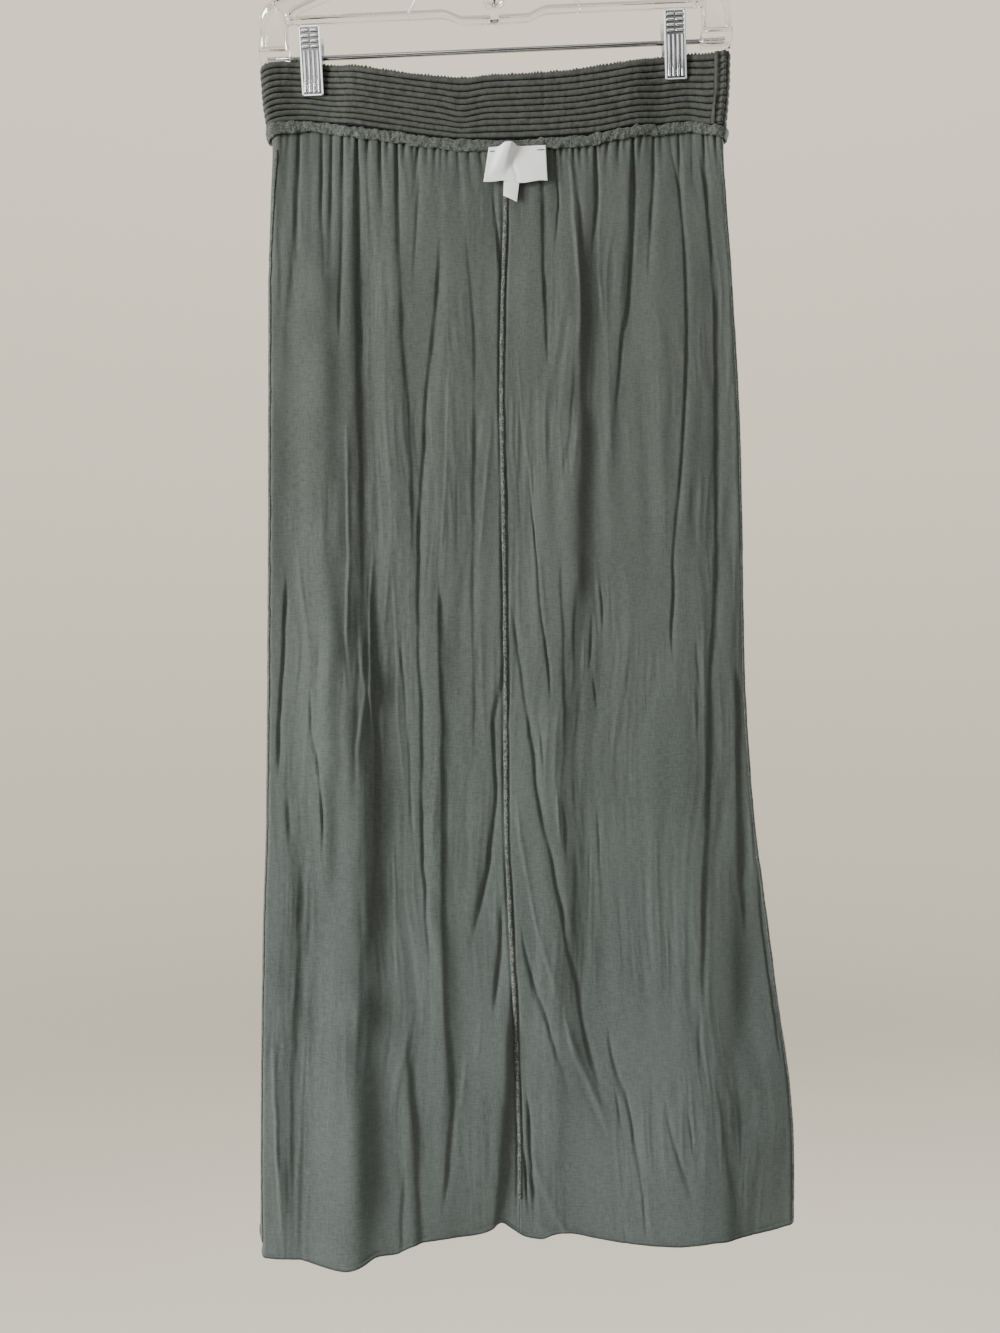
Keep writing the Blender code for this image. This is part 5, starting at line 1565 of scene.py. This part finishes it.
@dataclass
class Labels:
    """A white satin label over the waist seam, and a small tab under it. Both are bare."""

    satin: bpy.types.Material
    tack: bpy.types.Material
    left: float = 2.0
    right: float = 48.0
    tall: float = 28.4
    pinch_at: float = 0.36
    tack_ends: tuple[tuple[float, float], ...] = ((0.02, 0.12), (0.84, 0.98))
    tack_height: float = 0.13

    def ground(self, x: Array, down: Array) -> Array:
        """The near layer without gathers or folds.

        Args:
            x: Places across.
            down: Heights.

        Returns:
            The middle of the cloth there.
        """
        share = np.linspace(0, 1, 401)
        widths = DRAPE.across(share, np.full_like(share, 270.0), Layer.NEAR)[0]
        return DRAPE.point(np.interp(x, widths, share), down, Layer.NEAR, True)

    def label_place(self, u: Array, v: Array) -> Array:
        """Points of the label, which is pinched at its top and curls at its foot.

        Args:
            u: Share of its width.
            v: Share of its height, from the top.

        Returns:
            The points.
        """
        x = (self.left - 4.0 * v) * (1 - u) + (self.right + 1.2 * v) * u
        seam = smooth((self.left, self.right), (263.0, 261.2), x)
        aside = u - self.pinch_at + 0.2 * v
        ridge = np.exp(-(abs(aside / np.where(aside > 0, 0.115, 0.14)) ** 3.4)) * (1 - ease(v * 1.05)) ** 0.8
        curl = 1.5 * bell(u - 0.62, 0.14) - 1.0 * bell(u - 0.3, 0.12) - 0.5 * bell(u - 0.9, 0.08)
        down = seam + (self.tall + 0.9 * u) * v - 1.0 * ridge * (1 - v) ** 2 + curl * v**2
        point = self.ground(x, down)
        stand = smooth((0, 0.25, 0.6, 1), (4.7, 4.6, 4.4, 5.3), v) + 5.8 * ridge
        dent = bell(u - 0.47 + 0.05 * np.sin(5 * v), 0.035) * ease(v / 0.3) * (1 - 0.6 * v)
        point[..., 1] -= stand + 0.25 * np.sin(7 * u + 3 * v) - 0.8 * dent
        return point

    def build(self) -> None:
        """Builds and dresses the label, the tab and the tacks."""
        u, v = np.meshgrid(np.linspace(0, 1, 61), np.linspace(0, 1, 37))
        label = grid_piece("main_label_ribbon", self.label_place(u, v), np.stack([u * 0.048, v * 0.029], -1))
        thicken(label, 0.4)
        dress(label, self.satin, "white_satin", "main_label")
        x = (14.4 - 0.6 * v) * (1 - u) + (27.1 - 2.6 * v) * u
        point = self.ground(x, 286.5 + 15.6 * v + 5.0 * u * v)
        point[..., 1] -= 3.7 + 0.5 * v + 0.5 * np.sin(math.pi * u) * v
        tab = grid_piece("size_tab_ribbon", point, np.stack([u * 0.0125, v * 0.018], -1))
        thicken(tab, 0.35)
        dress(tab, self.satin, "white_satin", "size_tab")
        way = np.linspace(0, 1, 6)
        ends = [a + (b - a) * way for a, b in self.tack_ends]
        rows = np.stack([self.label_place(end, self.tack_height + 0 * way) for end in ends])
        rows[..., 1] -= 0.5
        tacks = threads("label_tacks", rows, np.broadcast_to((0.0, -1.0, 0.0), rows.shape), 0.36)
        dress(tacks, self.tack, "overlock")


# ---- hanger ----
def bevel_edges(piece: bpy.types.Object, width: float, angle: float) -> None:
    """Rounds a piece's sharp edges.

    Args:
        piece: The piece.
        width: Width of the rounding.
        angle: Least angle of an edge that is rounded, in degrees.
    """
    modifier = piece.modifiers.new("edges", "BEVEL")
    modifier.width = width * MM
    modifier.segments = 2
    modifier.limit_method = "ANGLE"
    modifier.angle_limit = math.radians(angle)
    apply_modifiers(piece)


def smooth_faces(piece: bpy.types.Object, angle: float) -> None:
    """Shades a piece smooth, apart from edges past an angle in degrees."""
    piece.data.shade_smooth()
    piece.data.set_sharp_from_angle(angle=math.radians(angle))


def block(name: str, centre: Triple, size: Triple) -> bpy.types.Object:
    """A sharp block, active and in edit mode.

    Args:
        name: The piece's name.
        centre: Its middle, in millimetres.
        size: Its width, depth and height.

    Returns:
        The object.
    """
    select_only(None)
    bpy.ops.mesh.primitive_cube_add(size=1, location=[v * MM for v in centre], scale=[v * MM for v in size])
    piece = bpy.context.active_object
    piece.name = name
    bpy.ops.object.transform_apply(location=False, rotation=False, scale=True)
    bpy.ops.object.mode_set(mode="EDIT")
    return piece


def rounded_block(name: str, centre: Triple, size: Triple, bevel: float, steps: int) -> bpy.types.Object:
    """A block with rounded edges.

    Args:
        name: The piece's name.
        centre: Its middle, in millimetres.
        size: Its width, depth and height.
        bevel: Radius of its edges.
        steps: Faces across each rounded edge.

    Returns:
        The object.
    """
    piece = block(name, centre, size)
    bpy.ops.mesh.select_all(action="SELECT")
    bpy.ops.mesh.bevel(offset=bevel * MM, segments=steps, affect="EDGES", clamp_overlap=True)
    bpy.ops.object.mode_set(mode="OBJECT")
    settle(piece)
    return piece


def settle(piece: bpy.types.Object) -> None:
    """Moves a piece's place into its mesh."""
    piece.data.transform(piece.matrix_basis)
    piece.matrix_basis = Matrix.Identity(4)


def joined(name: str, pieces: list[bpy.types.Object]) -> bpy.types.Object:
    """Joins pieces into the first of them.

    Args:
        name: The new name.
        pieces: The pieces.

    Returns:
        The first piece.
    """
    select_only(pieces[0])
    for piece in pieces:
        settle(piece)
        piece.select_set(True)
    bpy.ops.object.join()
    pieces[0].name = name
    return pieces[0]


def copy_piece(piece: bpy.types.Object, name: str, place: Matrix) -> bpy.types.Object:
    """Copies a piece with its mesh.

    Args:
        piece: The piece.
        name: The copy's name.
        place: Moves the copy's mesh.

    Returns:
        The copy.
    """
    copy = new_piece(name, piece.data.copy())
    copy.data.transform(place)
    return copy


@dataclass
class ClipPlate:
    """One plate of a clip, upright with its face towards -Y and its middle at the origin."""

    width: float = 17.6
    height: float = 55.0
    wall: float = 1.1
    corner: float = 1.6
    rim: float = 1.5
    recess: float = 0.55
    bar_rows: int = 4
    bar_pitch: float = 4.15
    bar_shift: float = 3.55
    flutes: int = 4
    flute_pitch: float = 3.6
    flute_height: float = 33.0

    def body(self) -> bpy.types.Object:
        """The plate with its round corners and raised rim.

        Returns:
            The object.
        """
        plate = block("plate", (0, 0, 0), (self.width, self.wall, self.height))
        bpy.ops.mesh.select_mode(type="EDGE")
        work = bmesh.from_edit_mesh(plate.data)
        for edge in work.edges:
            along = edge.verts[0].co - edge.verts[1].co
            edge.select_set(abs(along.y) > 0.5 * self.wall * MM and abs(along.z) < 1e-6)
        bmesh.update_edit_mesh(plate.data)
        bpy.ops.mesh.bevel(offset=self.corner * MM, segments=5, affect="EDGES")
        bpy.ops.mesh.select_mode(type="FACE")
        work = bmesh.from_edit_mesh(plate.data)
        for part in (*work.verts, *work.edges, *work.faces):
            part.select_set(False)
        for face in work.faces:
            if face.normal.y < -0.9:
                face.select_set(True)
        work.select_flush_mode()
        bmesh.update_edit_mesh(plate.data)
        bpy.ops.mesh.inset(thickness=self.rim * MM)
        bpy.ops.mesh.inset(thickness=0.35 * MM, depth=-self.recess * MM)
        bpy.ops.object.mode_set(mode="OBJECT")
        bevel_edges(plate, 0.22, 35)
        return plate

    def build(self) -> bpy.types.Object:
        """The plate with its finger bars and flutes.

        Returns:
            The object, whose points hold how deep they lie, as an attribute that masks the shade painted into
            its recesses.
        """
        pieces = [self.body()]
        face = -self.wall / 2 + self.recess
        top = self.height / 2 - self.rim - 2.4
        bar = rounded_block("bar", (0, face - 0.25, 0), (6.4, 1.9, 2.3), 0.8, 4)
        for row in range(self.bar_rows):
            for side in (-1, 1):
                shift = Vector((side * self.bar_shift, 0, top - row * self.bar_pitch))
                pieces.append(copy_piece(bar, "bar", Matrix.Translation(shift * MM)))
        low = -self.height / 2 + self.rim + 1.2 + self.flute_height / 2
        flute = rounded_block("flute", (0, face - 0.25, low), (2.3, 1.9, self.flute_height), 0.85, 4)
        for k in range(self.flutes):
            shift = (k - (self.flutes - 1) / 2) * self.flute_pitch * MM
            pieces.append(copy_piece(flute, "flute", Matrix.Translation((shift, 0, 0))))
        for model in (bar, flute):
            bpy.data.objects.remove(model, do_unlink=True)
        plate = joined("clip_plate", pieces)
        places = np.array([vertex.co for vertex in plate.data.vertices]) / MM
        from_side = self.width / 2 - abs(places[:, 0])
        inside = np.minimum(from_side, self.height / 2 - abs(places[:, 2])) > self.rim
        # How deep each point lies in a recess: the mask of the painted shade.
        painted_recess_shade = ease((places[:, 1] - face + 0.95) / 0.9) * inside * (places[:, 1] < self.wall / 2 - 0.2)
        attribute(plate, "painted_recess_shade", painted_recess_shade)
        return plate


@dataclass
class Clip:
    """A sprung clip on the bar: two plates, each with two ears round the bar, and a coil."""

    name: str
    x: float
    metal: bpy.types.Material
    above: float = 21.8
    below: float = 33.2
    top_y: float = 8.5
    jaw_y: float = 3.2
    wall: float = 1.1
    wire: float = 0.5
    coil_radius: float = 2.95
    coil_pitch: float = 1.4
    coil_turns: int = 8
    coil_half: float = 5.6

    def plate(self, model: bpy.types.Object, side: int) -> bpy.types.Object:
        """One plate with its ears.

        Args:
            model: The model of the plate.
            side: -1 for the front plate and 1 for the back one.

        Returns:
            The object.
        """
        lean = math.atan2(self.top_y - self.jaw_y, self.above + self.below)
        middle = ((self.top_y + self.jaw_y) / 2 + self.wall / 2) * side
        centre = Vector((self.x, middle, -BAR_DOWN + (self.above - self.below) / 2))
        place = Matrix.Translation(centre * MM) @ Matrix.Rotation(lean * -side, 4, "X")
        if side > 0:
            place = place @ Matrix.Rotation(math.pi, 4, "Z")
        name = f"clip_{self.name}_{'front' if side < 0 else 'back'}_metal"
        pieces = [copy_piece(model, name, place)]
        offset = 8.0 if side < 0 else 6.9
        for hand in (-1, 1):
            centre = (self.x + hand * offset, side * 2.6, -BAR_DOWN + 1.4)
            pieces.append(rounded_block("ear", centre, (0.8, 9.0, 9.0), 0.35, 2))
        return joined(name, pieces)

    def coil(self) -> bpy.types.Object:
        """The spring wound round the bar.

        Returns:
            The object.
        """
        select_only(None)
        bpy.ops.mesh.primitive_circle_add(
            vertices=10,
            radius=self.wire * MM,
            location=((self.x - self.coil_half) * MM, 0, (-BAR_DOWN + self.coil_radius) * MM),
            rotation=(math.pi / 2, 0, 0),
        )
        wire = bpy.context.active_object
        wire.name = f"clip_{self.name}_spring_wire"
        settle(wire)
        axis = new_piece("axis", None)
        axis.location = (0, 0, -BAR_DOWN * MM)
        modifier = wire.modifiers.new("coil", "SCREW")
        modifier.axis = "X"
        modifier.object = axis
        modifier.screw_offset = self.coil_pitch * MM
        modifier.iterations = self.coil_turns
        modifier.steps = modifier.render_steps = 24
        modifier.use_normal_calculate = True
        apply_modifiers(wire)
        bpy.data.objects.remove(axis, do_unlink=True)
        select_only(wire)
        bpy.ops.object.mode_set(mode="EDIT")
        bpy.ops.mesh.select_mode(type="EDGE")
        bpy.ops.mesh.select_all(action="DESELECT")
        bpy.ops.mesh.select_non_manifold()
        bpy.ops.mesh.edge_face_add()
        bpy.ops.mesh.select_all(action="SELECT")
        bpy.ops.mesh.normals_make_consistent(inside=False)
        bpy.ops.object.mode_set(mode="OBJECT")
        return wire

    def build(self, model: bpy.types.Object) -> None:
        """Builds and dresses the clip.

        Args:
            model: The model of its plates.
        """
        parts = {"front": self.plate(model, -1), "back": self.plate(model, 1), "spring": self.coil()}
        for part, piece in parts.items():
            settle(piece)
            piece.data.transform(Matrix.Rotation(-TILT, 4, "Y"))
            smooth_faces(piece, 40)
            dress(piece, self.metal, "chrome", f"clip_{self.name}_{part}")


@dataclass
class Hanger:
    """The clear frame with its bar and hook, made finer from their solids."""

    plastic: bpy.types.Material
    metal: bpy.types.Material
    rod: bpy.types.Material

    def refined(self, node: str, name: str, bevel: float, angle: float) -> bpy.types.Object:
        """A copy of a solid with its doubles merged and its edges rounded.

        Args:
            node: The solid.
            name: The piece's name.
            bevel: Width of its rounded edges.
            angle: Angle past which an edge stays sharp, in degrees.

        Returns:
            The object.
        """
        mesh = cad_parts[node].data.copy()
        mesh.name = name
        piece = new_piece(name, mesh)
        work = bmesh.new()
        work.from_mesh(mesh)
        bmesh.ops.remove_doubles(work, verts=work.verts, dist=0.01 * MM)
        bmesh.ops.dissolve_limit(work, angle_limit=math.radians(2), verts=work.verts, edges=work.edges)
        work.to_mesh(mesh)
        work.free()
        bevel_edges(piece, bevel, 40)
        smooth_faces(piece, angle)
        return piece

    def build(self) -> None:
        """Builds and dresses the frame, bar, hook and clips."""
        for node, ending, bevel, angle, finish, slot in (
            ("hanger_frame", "_clear", 0.35, 35, self.plastic, "clear_plastic"),
            ("hanger_bar", "_rod", 0.3, 35, self.rod, "chrome"),
            ("hanger_hook", "_wire", 0.2, 60, self.rod, "chrome"),
        ):
            dress(self.refined(node, node + ending, bevel, angle), finish, slot, node)
        model = ClipPlate().build()
        for name, x in zip(("left", "right"), CLIP_AT):
            Clip(name, x, self.metal).build(model)
        bpy.data.objects.remove(model, do_unlink=True)


# ---- room ----
@dataclass(frozen=True)
class Lamp:
    """A soft rectangular lamp, held to a cone of the given degrees."""

    name: str
    at_m: Triple
    aim_m: Triple
    size_m: tuple[float, float]
    power: float
    colour: Colour
    spread: float = 180.0

    def build(self) -> None:
        """Hangs the lamp."""
        data = bpy.data.lights.new(self.name, "AREA")
        data.shape = "RECTANGLE"
        data.size, data.size_y = self.size_m
        data.energy = self.power
        data.color = self.colour
        data.spread = math.radians(self.spread)
        lamp = new_piece(self.name, data)
        lamp.location = self.at_m
        lamp.rotation_euler = (Vector(self.aim_m) - Vector(self.at_m)).to_track_quat("-Z", "Y").to_euler()


LAMPS = (
    Lamp("window", (-2.75, -1.5, -0.4), (0, 0, -0.7), (1.1, 1.9), 185, (0.99, 1.0, 0.985)),
    Lamp("fill", (1.9, -1.9, -0.3), (0, 0, -0.66), (1.6, 1.6), 5, (0.98, 1.0, 0.99)),
    Lamp("back", (2.5, 1.6, -0.45), (0, 0, -0.7), (1.0, 1.7), 36, (0.985, 1.0, 0.99), 75),
)


@dataclass
class Studio:
    """Floor, walls, light and camera.

    Attributes:
        eye_m: Where the camera is.
        lens: Its focal length over a frame 36 mm high.
        backdrop: The light that the wall behind the skirt gives.
        wall_low: How that wall is seen at its foot: dimmer, as painted shade.
        wall_high: The same at its top: brighter, as painted light.
        dim: The lower part of the room in front, to the left and to the right.
        bright: Its upper part, to the left and to the right.
        window: Direction and light of the bright patch in front.
        pane: The same for one that only shows in bright metal and plastic.
        floor_down_m: Height of the floor.
        floor_tones: The floor's two tones.
    """

    eye_m: Triple = (0.01107, -0.79, -0.6818)
    lens: float = 26.02
    backdrop: Colour = (0.88, 0.80, 0.61)
    wall_low: Colour = (0.70, 0.635, 0.485)
    wall_high: Colour = (1.20, 1.10, 0.86)
    dim: tuple[Colour, Colour] = ((0.20, 0.206, 0.197), (0.08, 0.082, 0.079))
    bright: tuple[Colour, Colour] = ((0.72, 0.727, 0.72), (0.30, 0.304, 0.30))
    window: tuple[Triple, Colour] = ((-0.2, -0.9, 0.36), (3.2, 3.2, 3.16))
    pane: tuple[Triple, Colour] = ((0.2, -0.84, 0.5), (2.0, 2.0, 2.0))
    floor_down_m: float = 1.62
    floor_tones: tuple[Colour, Colour] = ((0.70, 0.66, 0.57), (0.75, 0.71, 0.62))

    def camera(self) -> None:
        """A level camera in front of the skirt's middle."""
        data = bpy.data.cameras.new("camera")
        data.sensor_fit = "VERTICAL"
        data.sensor_height = 36.0
        data.lens = self.lens
        camera = new_piece("camera", data)
        camera.location = self.eye_m
        camera.rotation_euler = (math.pi / 2, 0, 0)
        bpy.context.scene.camera = camera

    def patch(self, board: Board, way: Socket, towards: Triple) -> Socket:
        """1 near a direction, fading to 0 round it."""
        apart = board.add("VectorMath", {0: way, 1: towards}, operation="DISTANCE")
        return board.spread(apart.outputs["Value"], 0.1, 0.24, 1.0, 0.0)

    def room(self) -> None:
        """Pale walls behind the skirt, and a dimmer room in front of it."""
        world = bpy.data.worlds.new("room")
        bpy.context.scene.world = world
        world.use_nodes = True
        board = Board(world.node_tree)
        way = board.add("TexCoord").outputs["Generated"]
        x, y, z = board.add("SeparateXYZ", {0: way}).outputs
        path = board.add("LightPath").outputs
        aside = board.spread(x, -0.3, 0.3)
        low, high = (board.mix(aside, rgba(left), rgba(right)) for left, right in (self.dim, self.bright))
        front = board.mix(board.spread(z, 0.2, 0.45), low, high)
        front = board.mix(self.patch(board, way, self.window[0]), front, rgba(self.window[1]))
        mirrored = board.maths("MULTIPLY", self.patch(board, way, self.pane[0]), path["Is Glossy Ray"])
        front = board.mix(mirrored, front, rgba(self.pane[1]))
        lit = board.mix(board.spread(y, -0.25, 0.25), front, rgba(self.backdrop))
        seen = board.maths("MAXIMUM", path["Is Camera Ray"], path["Is Transmission Ray"])
        # Painted light on the wall behind: brighter at its top and dimmer at its foot.
        wall = board.mix(board.spread(z, -0.5, 0.5), rgba(self.wall_low), rgba(self.wall_high))
        board.fill(world.node_tree.nodes["Background"], {0: board.mix(seen, lit, wall)})

    def floor(self) -> None:
        """A pale floor that fades out towards its edge, into the backdrop."""
        place_m = (0, 0, -self.floor_down_m)
        bpy.ops.mesh.primitive_circle_add(vertices=96, radius=4.0, fill_type="NGON", location=place_m)
        floor = bpy.context.active_object
        floor.name = "floor"
        material, board, shader, _, place = new_material("pale_floor")
        tones = (rgba(tone) for tone in self.floor_tones)
        colour = board.mix(board.noise(place, 3.0, 4.0), *tones)
        board.fill(shader, {"Base Color": colour, "Roughness": 0.9})
        away = board.add("VectorMath", {0: place}, operation="LENGTH").outputs["Value"]
        edge = board.plus(away, board.noise(place, 0.4), 0.2)
        fade = board.add("MapRange", {0: edge, 1: 0.5, 2: 2.9}, interpolation_type="SMOOTHSTEP")
        clear = board.add("BsdfTransparent")
        both = board.add("MixShader", {0: fade.outputs[0], 1: shader.outputs[0], 2: clear.outputs[0]})
        board.fill(board.tree.nodes["Material Output"], {0: both.outputs[0]})
        floor.data.materials.append(material)

    def build(self) -> None:
        """Sets up the room."""
        self.camera()
        self.room()
        self.floor()
        for lamp in LAMPS:
            lamp.build()


def main() -> None:
    """Builds the dressed skirt, its hanger and the room."""
    logging.basicConfig(level=logging.INFO)
    cloth = WovenCloth(
        "sage_cloth", colour=(0.080, 0.088, 0.079), pale=(0.131, 0.144, 0.130), cast=(0.95, 1.0, 1.06)
    ).make(weave_group())
    elastic = CordedElastic(
        "ribbed_band", colour=(0.070, 0.0745, 0.0645), painted_groove_shade=(0.0022, 0.0026, 0.0022)
    ).make()
    edging = Overlock(
        "overlock_thread", colour=(0.105, 0.115, 0.104), pit_shade=(0.055, 0.061, 0.054),
        pale=(0.165, 0.178, 0.163),
    ).make()
    bound = Overlock(
        "binding_thread", colour=(0.125, 0.136, 0.126), pit_shade=(0.045, 0.05, 0.045), pale=(0.27, 0.285, 0.27)
    ).make()
    tack = Overlock(
        "grey_thread", colour=(0.035, 0.036, 0.035), pit_shade=(0.02, 0.02, 0.02), pale=(0.055, 0.056, 0.055)
    ).make()
    satin = Satin("white_satin", colour=(0.985, 0.985, 0.98)).make()
    chrome = Chrome("chrome", colour=(0.90, 0.905, 0.915), roughness=0.13).make()
    # A darker copy of the chrome for the bar and hook: painted shade standing in for the dark room that they
    # reflect.
    dimmed_chrome = Chrome("dimmed_chrome", colour=(0.48, 0.48, 0.49), roughness=0.12).make()
    plastic = ClearPlastic("clear_plastic", colour=(0.97, 0.975, 0.97)).make()
    Panels(cloth).build()
    Waistband(elastic).build()
    WaistRoll(edging).build()
    for strip in (
        SeamStrip("centre_seam", "centre_back_seam", SEAM_SHARE, -1.2, 1.1, 262.0, 1112.0, bound),
        SeamStrip("side_seam_left_strip", "side_seam_left", 0.0, 0.5, 2.6, 262.0, 1142.0, edging, seed=7),
        SeamStrip("side_seam_right_strip", "side_seam_right", 1.0, -2.6, -0.5, 262.0, 1127.0, edging, seed=9),
    ):
        strip.build()
    Labels(satin, tack).build()
    Hanger(plastic, chrome, dimmed_chrome).build()
    Studio().build()


if __name__ == "__main__":
    main()
